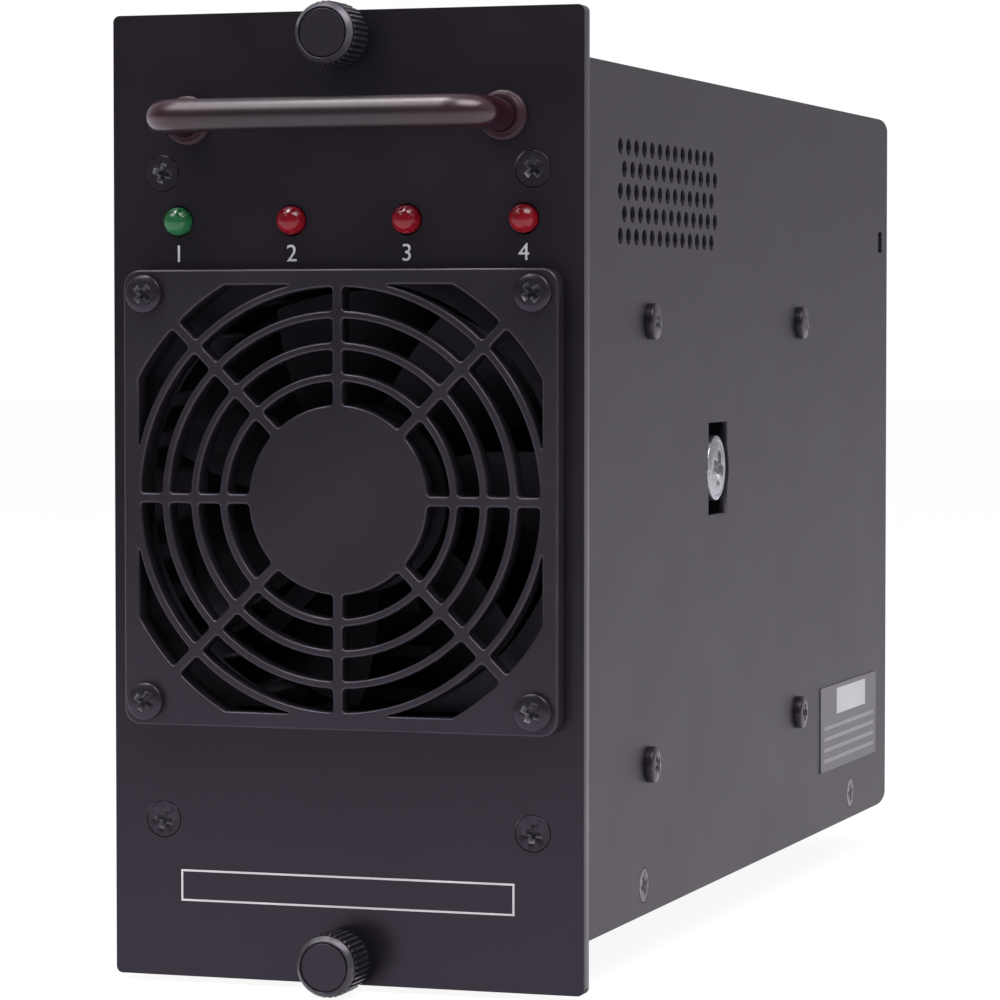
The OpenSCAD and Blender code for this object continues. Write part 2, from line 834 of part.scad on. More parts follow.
module bulkhead_rivets() {
    color("#4a4a4d") {
        at_yz(side_rivet_places)
            translate([-wall_x, 0, 0])
                face_left()
                    rivet();
        for (s = [-1, 1])
            translate([s * bulkhead_tab_w, bulkhead_rivet_y, -top_z])
                face_down()
                    rivet();
    }
}

module fan_guard() {
    color("#211f24")
        plate_y(guard_y0, -panel_t) {
            difference() {
                rounded_rect(fan_size, fan_size, guard_corner_r);
                air_opening(0);
                for (p = corners(fan_hole, fan_hole))
                    translate(p)
                        circle(d = fan_screw_d + 2 * screw_play);
            }
            intersection() {
                air_opening(guard_join);
                union() {
                    circle(d = guard_disc_d);
                    for (i = [1:guard_rings])
                        difference() {
                            circle(r = guard_disc_d / 2 + i * ring_pitch);
                            circle(r = guard_disc_d / 2 + i * ring_pitch - ring_w);
                        }
                    for (i = [0:spoke_count - 1])
                        rotate(i * 360 / spoke_count)
                            translate([guard_disc_d / 4, -spoke_w / 2])
                                square([fan_size, spoke_w]);
                }
            }
        }
}

module fan_screws() {
    color("#2b2a2e")
        at_xz(corners(fan_hole, fan_hole))
            translate([0, guard_y0, 0])
                face_front()
                    pan_screw(pan_head_d, pan_head_h, fan_screw_d, fan_y1 + nut_t + nut_screw_end - guard_y0);
}

module fan_nuts() {
    color("#b9bcc0")
        at_xz(corners(fan_hole, fan_hole))
            difference() {
                translate([0, fan_y1, 0])
                    face_rear()
                        cylinder(d = nut_d, h = nut_t, $fn = 6);
                rod_y(fan_screw_d / 2, fan_y1 - 1, fan_y1 + nut_t + 1);
            }
}

module fan_frame() {
    color("#17171a")
        difference() {
            union() {
                difference() {
                    union() {
                        plate_y(fan_y0, fan_y0 + fan_flange_t)
                            rounded_rect(fan_size, fan_size, guard_corner_r);
                        plate_y(fan_y1 - fan_flange_t, fan_y1)
                            rounded_rect(fan_size, fan_size, guard_corner_r);
                        rod_y(fan_size / 2, fan_y0, fan_y1);
                    }
                    rod_y(fan_bore_r, fan_y0 - 1, fan_y1 + 1);
                }
                rod_y(hub_d / 2, fan_y1 - fan_base_t, fan_y1);
                rod_y(bearing_tube_r, bearing_tube_y0, fan_y1);
                for (i = [0:3])
                    rotate([0, 45 + 90 * i, 0])
                        block([hub_d / 4, fan_y1 - fan_strut_t, -fan_strut_w / 2],
                              [fan_bore_r + fan_wall / 2, fan_y1, fan_strut_w / 2]);
            }
            rod_y(bearing_r, bearing_tube_y0 - 1, fan_y1 - fan_base_t);
            at_xz(corners(fan_hole, fan_hole))
                rod_y(fan_screw_d / 2 + screw_play, fan_y0 - 1, fan_y1 + 1);
        }
}

// Four-pole core around the bearing tube
stator_end_gap = 1;
stator_core = 2;
stator_y0 = bearing_tube_y0 + stator_end_gap;
stator_y1 = hub_y1 - stator_end_gap;
stator_r = hub_d / 2 - hub_wall - stator_gap;
stator_slot_w = 2.4;

module fan_stator() {
    color("#8a5a33")
        difference() {
            ring_y(stator_r, bearing_tube_r, stator_y0, stator_y1);
            for (i = [0:3])
                rotate([0, 90 * i, 0])
                    block([bearing_tube_r + stator_core, stator_y0 - 1, -stator_slot_w / 2],
                          [stator_r + 1, stator_y1 + 1, stator_slot_w / 2]);
        }
}

module fan_bearings() {
    color("#c6c8cb")
        for (y = [bearing_tube_y0, fan_y1 - fan_base_t - bearing_l])
            ring_y(bearing_r, fan_shaft_d / 2 + bearing_play, y, y + bearing_l);
}

module fan_blade() {
    intersection() {
        ring_y(fan_bore_r - blade_tip_gap, hub_d / 2 - hub_wall / 2, blade_y0, blade_y1);
        translate([0, (blade_y0 + blade_y1) / 2, 0])
            rotate([blade_slant, 0, 0])
                block([0, -blade_t / 2, -fan_t], [fan_size, blade_t / 2, fan_t]);
    }
}

module fan_rotor() {
    color("#1a1a1d") {
        difference() {
            union() {
                difference() {
                    rod_y(hub_d / 2, hub_y0, hub_y1);
                    rod_y(hub_d / 2 - hub_wall, hub_y0 + hub_wall, hub_y1 + 1);
                }
                rod_y(fan_shaft_d / 2 + rotor_boss_wall, hub_y0, rotor_boss_y1);
                for (i = [0:blade_count - 1])
                    rotate([0, i * 360 / blade_count, 0])
                        fan_blade();
            }
            rod_y(fan_shaft_d / 2, hub_y0 + hub_wall, hub_y1);
        }
    }
}

module fan_shaft() {
    color("#d5d7da")
        rod_y(fan_shaft_d / 2, hub_y0 + hub_wall, fan_y1 - fan_base_t - shaft_end_gap);
}

module handle_bar() {
    color("#2a2328")
        translate([0, 0, handle_z])
            difference() {
                union() {
                    rod_x_bar = handle_x - handle_bend_r;
                    translate([0, bar_y, 0])
                        rod_x(handle_d / 2, -rod_x_bar, rod_x_bar);
                    for (s = [0, 1])
                        mirror([s, 0, 0]) {
                            translate([rod_x_bar, bar_y + handle_bend_r, 0])
                                rotate([0, 0, -90])
                                    rotate_extrude(angle = 90)
                                        translate([handle_bend_r, 0])
                                            circle(d = handle_d);
                            translate([handle_x, 0, 0])
                                rod_y(handle_d / 2, bar_y + handle_bend_r, -panel_t);
                        }
                }
                for (s = [-1, 1])
                    translate([s * handle_x, 0, 0])
                        rod_y(handle_screw_d / 2, -panel_t - handle_screw_bite, 0);
            }
}

module handle_ferrules() {
    color("#2c2229")
        at_xz(handle_places)
            difference() {
                union() {
                    rod_y(ferrule_d / 2, -panel_t - ferrule_h * 0.6, -panel_t);
                    translate([0, -panel_t, 0])
                        face_front()
                            translate([0, 0, ferrule_h * 0.6])
                                cylinder(d1 = ferrule_d, d2 = ferrule_d - 2 * ferrule_taper,
                                         h = ferrule_h * 0.4);
                }
                rod_y(handle_d / 2, -panel_t - ferrule_h - 1, 0);
            }
}

module handle_screws() {
    color("#b9bcc0")
        at_xz(handle_places)
            translate([0, sheet_t, 0])
                face_rear()
                    pan_screw(handle_head_d, handle_head_h, handle_screw_d,
                              sheet_t + panel_t + handle_screw_bite);
}

module thumbscrew_bushes() {
    color("#2f2e33")
        at_xz(thumb_places)
            difference() {
                union() {
                    rod_y(bush_flange_r, -panel_t - bush_flange_h, -panel_t);
                    rod_y(bush_body_r, -panel_t - bush_flange_h, 0);
                }
                rod_y(guide_r, -panel_t - bush_flange_h - 1, 1);
            }
}

// Knurled knob around Y, bored for the screw's neck
module knob() {
    grip_y0 = knob_y0 + knob_chamfer + knob_lip_l;
    face_d = knob_d - 2 * knob_lip;
    difference() {
        union() {
            rod_y(face_d / 2, knob_y0 + knob_chamfer, grip_y0);
            rod_y(knob_d / 2, grip_y0, knob_y1);
            translate([0, knob_y0 + knob_chamfer, 0])
                face_front()
                    cylinder(d1 = face_d, d2 = face_d - 2 * knob_chamfer, h = knob_chamfer);
        }
        rod_y(neck_r, knob_y0 + knob_skin, knob_y1 + 1);
        for (i = [0:knurl_count - 1])
            rotate([0, i * 360 / knurl_count, 0])
                translate([0, grip_y0, knob_d / 2])
                    rotate([0, 45, 0])
                        block([-knurl_depth * 0.7, -1, -knurl_depth * 0.7],
                              [knurl_depth * 0.7, knob_len, knurl_depth * 0.7]);
    }
}

// Captive screw around Y: relieved neck, thread and pointed tip
module captive_screw() {
    rod_y(neck_r, knob_y0 + knob_skin, thread_y0);
    rod_y(thread_d / 2, thread_y0, thread_y0 + thread_len - thread_tip);
    translate([0, thread_y0 + thread_len - thread_tip, 0])
        face_rear()
            cylinder(d1 = thread_d, d2 = thread_d - 2 * thread_tip, h = thread_tip);
}

module retainer() {
    ring_y(retainer_r, guide_r, retainer_y0, retainer_y0 + retainer_t);
}

module upper_knob() { color("#28262b") translate([0, 0, thumb_z]) knob(); }
module upper_screw() { color("#9b9da1") translate([0, 0, thumb_z]) captive_screw(); }
module upper_retainer() { color("#55565a") translate([0, 0, thumb_z]) retainer(); }
module lower_knob() { color("#28262b") translate([0, 0, -thumb_z]) knob(); }
module lower_screw() { color("#9b9da1") translate([0, 0, -thumb_z]) captive_screw(); }
module lower_retainer() { color("#55565a") translate([0, 0, -thumb_z]) retainer(); }

// Domed lamp seated by its flange behind the bulkhead, with two leads to its board
module led(x) {
    translate([x, 0, led_z]) {
        translate([0, -panel_t - led_proud + led_d / 2, 0])
            sphere(d = led_d);
        rod_y(led_d / 2, -panel_t - led_proud + led_d / 2, sheet_t + led_flange_t);
        rod_y(led_d / 2 + led_flange_step, sheet_t, sheet_t + led_flange_t);
        for (s = [-1, 1])
            translate([s * led_lead_x, 0, 0])
                rod_y(led_lead_r, sheet_t, led_board_y);
    }
}

module power_led() {
    color("#2f7a45")
        led(led_xs[0]);
}

module alarm_leds() {
    color("#b0182a")
        for (i = [1:3])
            led(led_xs[i]);
}

module led_board() {
    color("#1f5a35")
        difference() {
            block([-led_board_x, led_board_y, led_z - led_board_h / 2],
                  [led_board_x, led_board_y + board_t, led_z + led_board_h / 2]);
            at_xz(led_standoff_places)
                rod_y(board_screw_d / 2 + screw_play, led_board_y - 1, led_board_y + board_t + 1);
        }
}

// Standoffs stand between the lamps
module led_board_standoffs() {
    color("#c2b27a")
        at_xz(led_standoff_places)
            ring_y(standoff_d / 2, board_screw_d / 2, sheet_t, led_board_y);
}

module led_board_screws() {
    color("#b9bcc0")
        at_xz(led_standoff_places)
            translate([0, led_board_y + board_t, 0])
                face_rear()
                    pan_screw(board_head_d, board_head_h, board_screw_d, board_t + led_board_gap / 2);
}

// Places of the flush screws that hold the cover to the tray
flush_ys = [flush_front, case_d - flush_rear];
flush_z = flush_rise - top_z;
right_flush_places = [for (y = flush_ys) [y, flush_z]];
left_flush_places = [for (y = flush_ys) [y, -flush_z]];
cover_flange_gap = 2;
cover_flange_y0 = sheet_t + bulkhead_tab_d + cover_flange_gap;
cover_flange_y1 = rear_y - rear_flange_d - cover_flange_gap;

module chassis_tray() {
    color("#2b2a2e")
        difference() {
            union() {
                plate_x(-wall_x, -inner_x)
                    left_outline();
                mirror([0, 0, 1])
                    plate_x(-inner_x, inner_x)
                        top_section();
                block([flange_x, sheet_t + bulkhead_tab_d, -top_z + sheet_t / 2],
                      [inner_x, cover_flange_y1, -top_z + flange_h]);
            }
            at_yz(right_flush_places)
                translate([wall_x, 0, 0])
                    face_right()
                        flush_hole(2 * sheet_t, 0);
            at_yz(left_flush_places)
                translate([-wall_x, 0, 0])
                    face_left()
                        flush_hole(sheet_t);
            at_yz(rear_screw_places)
                translate([-wall_x, 0, 0])
                    face_left()
                        flush_hole(sheet_t);
            at_yz(side_rivet_places)
                rod_x(rivet_d / 2, -wall_x - 1, -inner_x + 1);
            for (s = [-1, 1])
                translate([s * bulkhead_tab_w, bulkhead_rivet_y, -top_z - 1])
                    cylinder(d = rivet_d, h = sheet_t + 2);
            for (y = sink_foot_ys)
                translate([sink_face_x - sink_base_t / 2, y, -top_z])
                    face_down()
                        flush_hole(sheet_t);
        }
}

module keyhole() {
    translate([ground_y, ground_z]) {
        square([slot_w, slot_h], center = true);
        circle(d = slot_d);
    }
}

module side_cover() {
    color("#3a383e")
        difference() {
            union() {
                plate_x(inner_x, wall_x)
                    side_outline();
                plate_x(-wall_x, inner_x)
                    top_section();
                block([-inner_x, cover_flange_y0, top_z - flange_h],
                      [-flange_x, cover_flange_y1, ceiling_z]);
            }
            for (row = [0:vent_rows - 1], col = [0:vent_cols - 1])
                translate([0, vent_front + (row % 2) * vent_pitch / 2, top_z - vent_drop])
                    translate([0, col * vent_pitch, -row * vent_row_pitch])
                        rod_x(vent_d / 2, inner_x - 1, wall_x + 1);
            at_yz(spacer_places)
                rod_x(case_screw_d / 2 + screw_play, inner_x - 1, wall_x + 1);
            at_yz(right_flush_places)
                translate([wall_x, 0, 0])
                    face_right()
                        flush_hole(sheet_t);
            at_yz(left_flush_places)
                translate([-wall_x, 0, 0])
                    face_left()
                        flush_hole(2 * sheet_t, 0);
            plate_x(inner_x - 1, wall_x + 1)
                keyhole();
            plate_x(inner_x - 1, wall_x + 1)
                translate([case_d - tab_rear, tab_z])
                    square([tab_w, tab_h], center = true);
        }
}

module cover_flush_screws() {
    color("#1c1b1e") {
        at_yz(right_flush_places)
            translate([wall_x, 0, 0])
                face_right()
                    flush_screw(2 * sheet_t + tap_reach);
        at_yz(left_flush_places)
            translate([-wall_x, 0, 0])
                face_left()
                    flush_screw(2 * sheet_t + tap_reach);
    }
}

module cover_pan_screws() {
    color("#2b2a2e")
        at_yz(spacer_places)
            translate([wall_x, 0, 0])
                face_right()
                    pan_screw(pan_head_d, pan_head_h, case_screw_d, sheet_t + spacer_bite);
}

module label_plate() {
    color("#5a585d")
        block([wall_x, case_d - label_rear - label_l, label_rise - top_z],
              [wall_x + label_t, case_d - label_rear, label_rise + label_h - top_z]);
}

module heat_sink() {
    color("#8f9296")
        difference() {
            union() {
                block([sink_back_x, sink_y0, floor_z], [sink_face_x, sink_y1, sink_top_z]);
                for (i = [0:fin_count - 1])
                    translate([0, 0, fin_z0 + i * fin_pitch])
                        block([sink_back_x - fin_l, sink_y0, -fin_t / 2],
                              [sink_back_x + fin_root, sink_y1, fin_t / 2]);
            }
            at_yz(spacer_places)
                rod_x(spacer_stud_d / 2, sink_face_x - spacer_stud_l, sink_face_x + 1);
            for (y = sink_foot_ys)
                translate([sink_face_x - sink_base_t / 2, y, -top_z])
                    face_down()
                        flush_hole(sheet_t + sink_foot_bite - 1, 0);
            at_yz(transistor_screw_places)
                rod_x(board_screw_d / 2, sink_face_x - sink_tap, sink_face_x + 1);
            at_yz(isolator_screw_places)
                rod_x(board_screw_d / 2, sink_face_x - sink_tap, sink_face_x + 1);
            at_yz(standoff_places)
                rod_x(board_screw_d / 2, sink_face_x - sink_tap, sink_face_x + 1);
        }
}

module heat_sink_screws() {
    color("#1c1b1e")
        for (y = sink_foot_ys)
            translate([sink_face_x - sink_base_t / 2, y, -top_z])
                face_down()
                    flush_screw(sheet_t + sink_foot_bite);
}

module hex_spacers() {
    color("#c2b27a")
        at_yz(spacer_places)
            difference() {
                union() {
                    translate([sink_face_x, 0, 0])
                        face_right()
                            cylinder(d = spacer_d, h = inner_x - sink_face_x, $fn = 6);
                    rod_x(spacer_stud_d / 2, sink_face_x - spacer_stud_l, sink_face_x + 1);
                }
                rod_x(case_screw_d / 2, inner_x - spacer_bite, inner_x + 1);
            }
}

module ground_post() {
    color("#c2b27a")
        translate([0, ground_y, ground_z])
            difference() {
                rod_x(post_d / 2, sink_face_x, post_x1);
                rod_x(ground_screw_d / 2, post_x1 - ground_bite, post_x1 + 1);
            }
}

module ground_washer() {
    color("#a9abae")
        translate([0, ground_y, ground_z])
            difference() {
                rod_x(ground_washer_d / 2, post_x1, ground_head_x);
                rod_x(ground_screw_d / 2 + screw_play, post_x1 - 1, ground_head_x + 1);
            }
}

module ground_screw() {
    color("#cfcdd0")
        translate([ground_head_x, ground_y, ground_z])
            face_right()
                pan_screw(ground_head_d, ground_head_h, ground_screw_d, ground_washer_t + ground_bite);
}

// Hole pattern that both boards share: standoff corners and the ground post
module board_outline(standoff_hole_d) {
    difference() {
        translate([board_y0, board_z0])
            square([board_y1 - board_y0, board_z1 - board_z0]);
        for (y = standoff_ys, z = standoff_zs)
            translate([y, z])
                circle(d = standoff_hole_d);
        translate([ground_y, ground_z])
            circle(d = post_d + 2 * post_play);
    }
}

module rf_board() {
    color("#d9d3b8")
        difference() {
            plate_x(sink_face_x, rf_board_x1)
                board_outline(standoff_d + 2 * standoff_play);
            for (y = transistor_ys)
                translate([0, y, transistor_z])
                    slab(sink_face_x - 1, rf_board_x1 + 1,
                         transistor_l + 2 * standoff_play, transistor_w + 2 * standoff_play);
        }
}

module rf_transistors() {
    color("#e3dcc8")
        for (y = transistor_ys)
            translate([sink_face_x, y, transistor_z])
                difference() {
                    union() {
                        slab(0, transistor_flange_t, transistor_l, transistor_w);
                        slab(0, transistor_flange_t + transistor_cap_t, transistor_cap_l,
                             transistor_w - 2 * transistor_cap_inset);
                    }
                    for (s = [-1, 1])
                        translate([0, s * transistor_screw_x, 0])
                            rod_x(board_screw_d / 2 + screw_play, -1, transistor_flange_t + 1);
                }
}

module transistor_screws() {
    color("#b9bcc0")
        at_yz(transistor_screw_places)
            translate([sink_face_x + transistor_flange_t, 0, 0])
                face_right()
                    pan_screw(flat_head_d, board_head_h, board_screw_d, transistor_flange_t + sink_tap);
}

module isolator() {
    color("#9ea1a5")
        translate([sink_face_x, isolator_y, ground_z])
            difference() {
                union() {
                    slab(0, isolator_base_h, isolator_w, isolator_w);
                    rod_x(isolator_w / 2 - isolator_can_inset, 0, isolator_h);
                }
                at_yz(isolator_screw_corners)
                    rod_x(board_screw_d / 2 + screw_play, -1, isolator_h);
            }
}

module isolator_screws() {
    color("#b9bcc0")
        at_yz(isolator_screw_places)
            translate([sink_face_x + isolator_base_h, 0, 0])
                face_right()
                    pan_screw(flat_head_d, board_head_h, board_screw_d, isolator_base_h + sink_tap);
}

module control_board() {
    color("#1f5a35")
        plate_x(control_x0, control_x1)
            board_outline(board_screw_d + 2 * screw_play);
}

// Capacitors, controller chip and pin headers on the control board
module control_parts() {
    color("#202226") {
        for (i = [0:2])
            translate([0, board_y1 - capacitor_rear - capacitor_pitch * i, board_zc - capacitor_drop])
                rod_x(capacitor_d / 2, control_x1, control_x1 + capacitor_h);
        translate([0, board_yc + chip_back, board_zc + chip_lift])
            slab(control_x1, control_x1 + chip_h, chip_w, chip_w);
        translate([0, board_y0 + header_inset, board_zc - header_drop])
            slab(control_x1, control_x1 + header_w, header_w, header_l);
    }
}

module board_standoffs() {
    color("#c2b27a")
        at_yz(standoff_places)
            difference() {
                union() {
                    rod_x(standoff_d / 2, sink_face_x, control_x0);
                    rod_x(board_screw_d / 2, sink_face_x - sink_tap, sink_face_x + 1);
                }
                rod_x(board_screw_d / 2, control_x0 - board_bite, control_x0 + 1);
            }
}

module control_screws() {
    color("#b9bcc0")
        at_yz(standoff_places)
            translate([control_x1, 0, 0])
                face_right()
                    pan_screw(board_head_d, board_head_h, board_screw_d, board_t + board_bite);
}

// Screw places of the rear connectors, in X and Z
output_corners = corners(output_screw_pitch / 2, output_screw_pitch / 2);
input_corners = [for (s = [-1, 1]) [s * input_screw_pitch / 2, s * input_screw_pitch / 2]];
output_screws = [for (c = output_corners) [c[0] + rf_x, c[1] + rf_z]];
input_screws = [for (c = input_corners) [c[0] - rf_x, c[1] + rf_z]];
dc_screws = [for (s = [-1, 1]) [s * dc_screw_pitch / 2, dc_z]];
alarm_screws = [for (s = [-1, 1]) [s * alarm_screw_pitch / 2, alarm_z]];

module rear_panel() {
    color("#2b2a2e")
        difference() {
            union() {
                block([-inner_x, rear_y, -lead_z], [inner_x, case_d, lead_z]);
                for (s = [0, 1])
                    mirror([s, 0, 0])
                        block([flange_x, rear_y - rear_flange_d, rear_flange_end - lead_z],
                              [inner_x, rear_y + sheet_t / 2, lead_z - rear_flange_end]);
                translate([0, case_d - tab_rear, tab_z])
                    slab(inner_x - sheet_t / 2, inner_x + sheet_t / 2,
                         tab_w - 2 * screw_play, tab_h - 2 * screw_play);
            }
            at_yz(rear_screw_places)
                translate([-wall_x, 0, 0])
                    face_left()
                        flush_hole(2 * sheet_t, 0);
            at_xz([for (row = [0:exhaust_rows - 1], col = [0:exhaust_cols - 1])
                    [(col - (exhaust_cols - 1) / 2) * exhaust_pitch,
                     exhaust_z + (row - (exhaust_rows - 1) / 2) * exhaust_pitch]])
                rod_y(exhaust_d / 2, rear_y - 1, case_d + 1);
            at_xz([[rf_x, rf_z], [-rf_x, rf_z]])
                rod_y(rf_inner_r + screw_play, rear_y - 1, case_d + 1);
            at_xz(concat(output_screws, input_screws, dc_screws, alarm_screws))
                rod_y(connector_screw_d / 2, rear_y - 1, case_d + 1);
            translate([0, 0, dc_z])
                slab_y(rear_y - 1, case_d + 1, dc_w + 2 * screw_play, dc_h + 2 * screw_play);
            translate([0, 0, alarm_z])
                slab_y(rear_y - 1, case_d + 1,
                       alarm_shell_w + 2 * screw_play, alarm_shell_h + 2 * screw_play);
        }
}

module rear_panel_screws() {
    color("#1c1b1e")
        at_yz(rear_screw_places)
            translate([-wall_x, 0, 0])
                face_left()
                    flush_screw(2 * sheet_t + tap_reach);
}

// Threaded coax jack: square flange outside, barrel with a socket, and a plain neck through the panel
module jack(flange_w, flange_t, thread_d, thread_l, screw_places) {
    difference() {
        union() {
            plate_y(case_d, case_d + flange_t)
                square(flange_w, center = true);
            rod_y(thread_d / 2, case_d + flange_t, case_d + flange_t + thread_l);
            rod_y(rf_inner_r, rear_y - rf_inner_l, case_d + 1);
        }
        ring_y(thread_d * 0.33, thread_d * 0.1, case_d + flange_t + 1, case_d + flange_t + thread_l + 1);
        at_xz(screw_places)
            rod_y(connector_screw_d / 2 + screw_play, case_d - 1, case_d + flange_t + 1);
    }
}

module rf_output_connector() {
    color("#c9cbce")
        translate([rf_x, 0, rf_z])
            jack(output_flange_w, output_flange_t, output_thread_d, output_thread_l,
                 output_corners);
}

module rf_input_connector() {
    color("#c8a84b")
        translate([-rf_x, 0, rf_z])
            jack(input_flange_w, input_flange_t, input_thread_d, input_thread_l,
                 input_corners);
}

module dc_connector() {
    color("#1b1b1e")
        difference() {
            union() {
                translate([0, 0, dc_z]) {
                    slab_y(rear_y - dc_inner_l, case_d + dc_proud, dc_w, dc_h);
                    slab_y(case_d, case_d + dc_ear_t, dc_screw_pitch + 2 * dc_screw_side, dc_h);
                }
            }
            for (s = [-1, 1])
                translate([s * dc_pin_pitch / 2, 0, dc_z])
                    rod_y(dc_socket_d / 2, case_d + dc_proud - dc_socket_l, case_d + dc_proud + 1);
            at_xz(dc_screws)
                rod_y(connector_screw_d / 2 + screw_play, case_d - 1, case_d + dc_ear_t + 1);
        }
}

module alarm_connector() {
    color("#aeb0b4")
        difference() {
            union() {
                translate([0, 0, alarm_z]) {
                    slab_y(case_d, case_d + alarm_flange_t, alarm_w, alarm_h);
                    slab_y(rear_y - alarm_inner_l, case_d + alarm_proud, alarm_shell_w, alarm_shell_h);
                }
            }
            for (i = [0:4])
                translate([(i - 2) * alarm_pin_pitch, 0, alarm_z + alarm_pin_row])
                    rod_y(alarm_pin_r, case_d + alarm_flange_t, case_d + alarm_proud + 1);
            for (i = [0:3])
                translate([(i - 1.5) * alarm_pin_pitch, 0, alarm_z - alarm_pin_row])
                    rod_y(alarm_pin_r, case_d + alarm_flange_t, case_d + alarm_proud + 1);
            at_xz(alarm_screws)
                rod_y(connector_screw_d / 2 + screw_play, case_d - 1, case_d + alarm_flange_t + 1);
        }
}

// Pan screws that hold a connector flange of the given thickness to the rear panel
module connector_screw_group(places, flange_t) {
    at_xz(places)
        translate([0, case_d + flange_t, 0])
            face_rear()
                pan_screw(connector_head_d, connector_head_h, connector_screw_d, flange_t + sheet_t);
}

module connector_screws() {
    color("#b9bcc0") {
        connector_screw_group(output_screws, output_flange_t);
        connector_screw_group(input_screws, input_flange_t);
        connector_screw_group(dc_screws, dc_ear_t);
        connector_screw_group(alarm_screws, alarm_flange_t);
    }
}

// Cable runs: each starts at its connector's inner end
rf_end_y = rear_y - rf_inner_l;
coax_turn_y = sink_y1 + coax_sink_gap;
coax_x = sink_face_x + isolator_base_h / 2 + coax_step;
input_coax_x = rf_board_x1 + coax_d / 2 + coax_step;
input_land_z = standoff_zs[1];

module output_coax() {
    color("#b87a46")
        cable([[rf_x, rf_end_y, rf_z], [rf_x, coax_turn_y, rf_z], [coax_x, coax_turn_y, rf_z],
               [coax_x, coax_turn_y, ground_z], [coax_x, isolator_y + isolator_w / 2, ground_z]], coax_d);
}

module input_coax() {
    turn_y = coax_turn_y + coax_d + coax_step;
    land_y = standoff_ys[1] - standoff_d - coax_d;
    color("#b87a46")
        cable([[-rf_x, rf_end_y, rf_z], [-rf_x, turn_y, rf_z], [-rf_x, turn_y, rf_z + coax_rise],
               [input_coax_x, turn_y, rf_z + coax_rise], [input_coax_x, land_y, rf_z + coax_rise],
               [input_coax_x, land_y, input_land_z], [rf_board_x1, land_y, input_land_z]], coax_d);
}

module dc_leads() {
    lead_x = (control_x0 + control_x1) / 2;
    end_y = rear_y - dc_inner_l;
    near_y = end_y - dc_lead_back;
    far_y = near_y - dc_lead_step;
    upper_z = dc_z + dc_lead_rise;
    pin_x = dc_pin_pitch / 2;
    color("#a03028") {
        cable([[pin_x, end_y, dc_z], [pin_x, near_y, dc_z],
               [lead_x, near_y, dc_z], [lead_x, board_y1, dc_z]], dc_lead_d);
        cable([[-pin_x, end_y, dc_z], [-pin_x, far_y, dc_z], [-pin_x, far_y, upper_z],
               [lead_x, far_y, upper_z], [lead_x, board_y1, upper_z]], dc_lead_d);
    }
}

module fan_lead() {
    lead_x = (control_x0 + control_x1) / 2;
    turn_y = fan_y1 + fan_lead_back;
    run_z = fan_lead_rise - fan_hole;
    color("#a03028")
        cable([[fan_hole, fan_y1, run_z], [fan_hole, turn_y, run_z],
               [lead_x, turn_y, run_z], [lead_x, board_y0, run_z]], fan_lead_d);
}

front_panel();
panel_screws();
clinch_nuts();
front_bulkhead();
bulkhead_rivets();
fan_guard();
fan_screws();
fan_nuts();
fan_frame();
fan_stator();
fan_bearings();
fan_rotor();
fan_shaft();
handle_bar();
handle_ferrules();
handle_screws();
thumbscrew_bushes();
upper_knob();
upper_screw();
upper_retainer();
lower_knob();
lower_screw();
lower_retainer();
power_led();
alarm_leds();
led_board();
led_board_standoffs();
led_board_screws();
chassis_tray();
side_cover();
cover_flush_screws();
cover_pan_screws();
label_plate();
heat_sink();
heat_sink_screws();
hex_spacers();
ground_post();
ground_washer();
ground_screw();
rf_board();
rf_transistors();
transistor_screws();
isolator();
isolator_screws();
control_board();
control_parts();
board_standoffs();
control_screws();
rear_panel();
rear_panel_screws();
rf_output_connector();
rf_input_connector();
dc_connector();
alarm_connector();
connector_screws();
output_coax();
input_coax();
dc_leads();
fan_lead();
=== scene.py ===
# Looks of a plug-in radio-frequency power amplifier module, built round its CAD frame.
# Metres, in the CAD's own frame: +X right, +Y into the case, +Z up, origin behind the front panel's middle.
# Sizes of pieces are in millimetres, brought to metres by MM.
from functools import partial
from math import acos, asin, cos, inf, pi, radians, sin, tau

import bmesh
import bpy
from mathutils import Matrix, Vector


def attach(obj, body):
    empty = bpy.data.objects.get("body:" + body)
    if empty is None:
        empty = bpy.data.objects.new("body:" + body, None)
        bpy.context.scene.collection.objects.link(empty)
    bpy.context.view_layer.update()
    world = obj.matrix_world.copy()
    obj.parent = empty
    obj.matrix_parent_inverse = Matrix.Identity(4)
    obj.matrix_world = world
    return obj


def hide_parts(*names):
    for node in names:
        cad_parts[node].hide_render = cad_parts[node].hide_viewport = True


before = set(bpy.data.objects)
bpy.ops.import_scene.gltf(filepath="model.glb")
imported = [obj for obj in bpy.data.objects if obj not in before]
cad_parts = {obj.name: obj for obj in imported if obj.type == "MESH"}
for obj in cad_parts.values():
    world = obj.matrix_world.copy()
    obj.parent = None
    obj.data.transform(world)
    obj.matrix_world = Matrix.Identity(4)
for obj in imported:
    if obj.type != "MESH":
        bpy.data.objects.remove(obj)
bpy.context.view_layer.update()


# Case: a tray folded from 1.6 mm aluminium sheet makes the floor and the left wall, a second sheet
# the right wall and the top, and a flanged plate closes the rear. All three are powder-coated black,
# and the punched edges keep a small rounding where the coat runs over them.
MM = 0.001


def linear(hex_colour):
    """sRGB hex colour as linear red, green, blue and alpha."""
    parts = [int(hex_colour[i:i + 2], 16) / 255 for i in (1, 3, 5)]
    return [p / 12.92 if p <= 0.04045 else ((p + 0.055) / 1.055) ** 2.4 for p in parts] + [1]


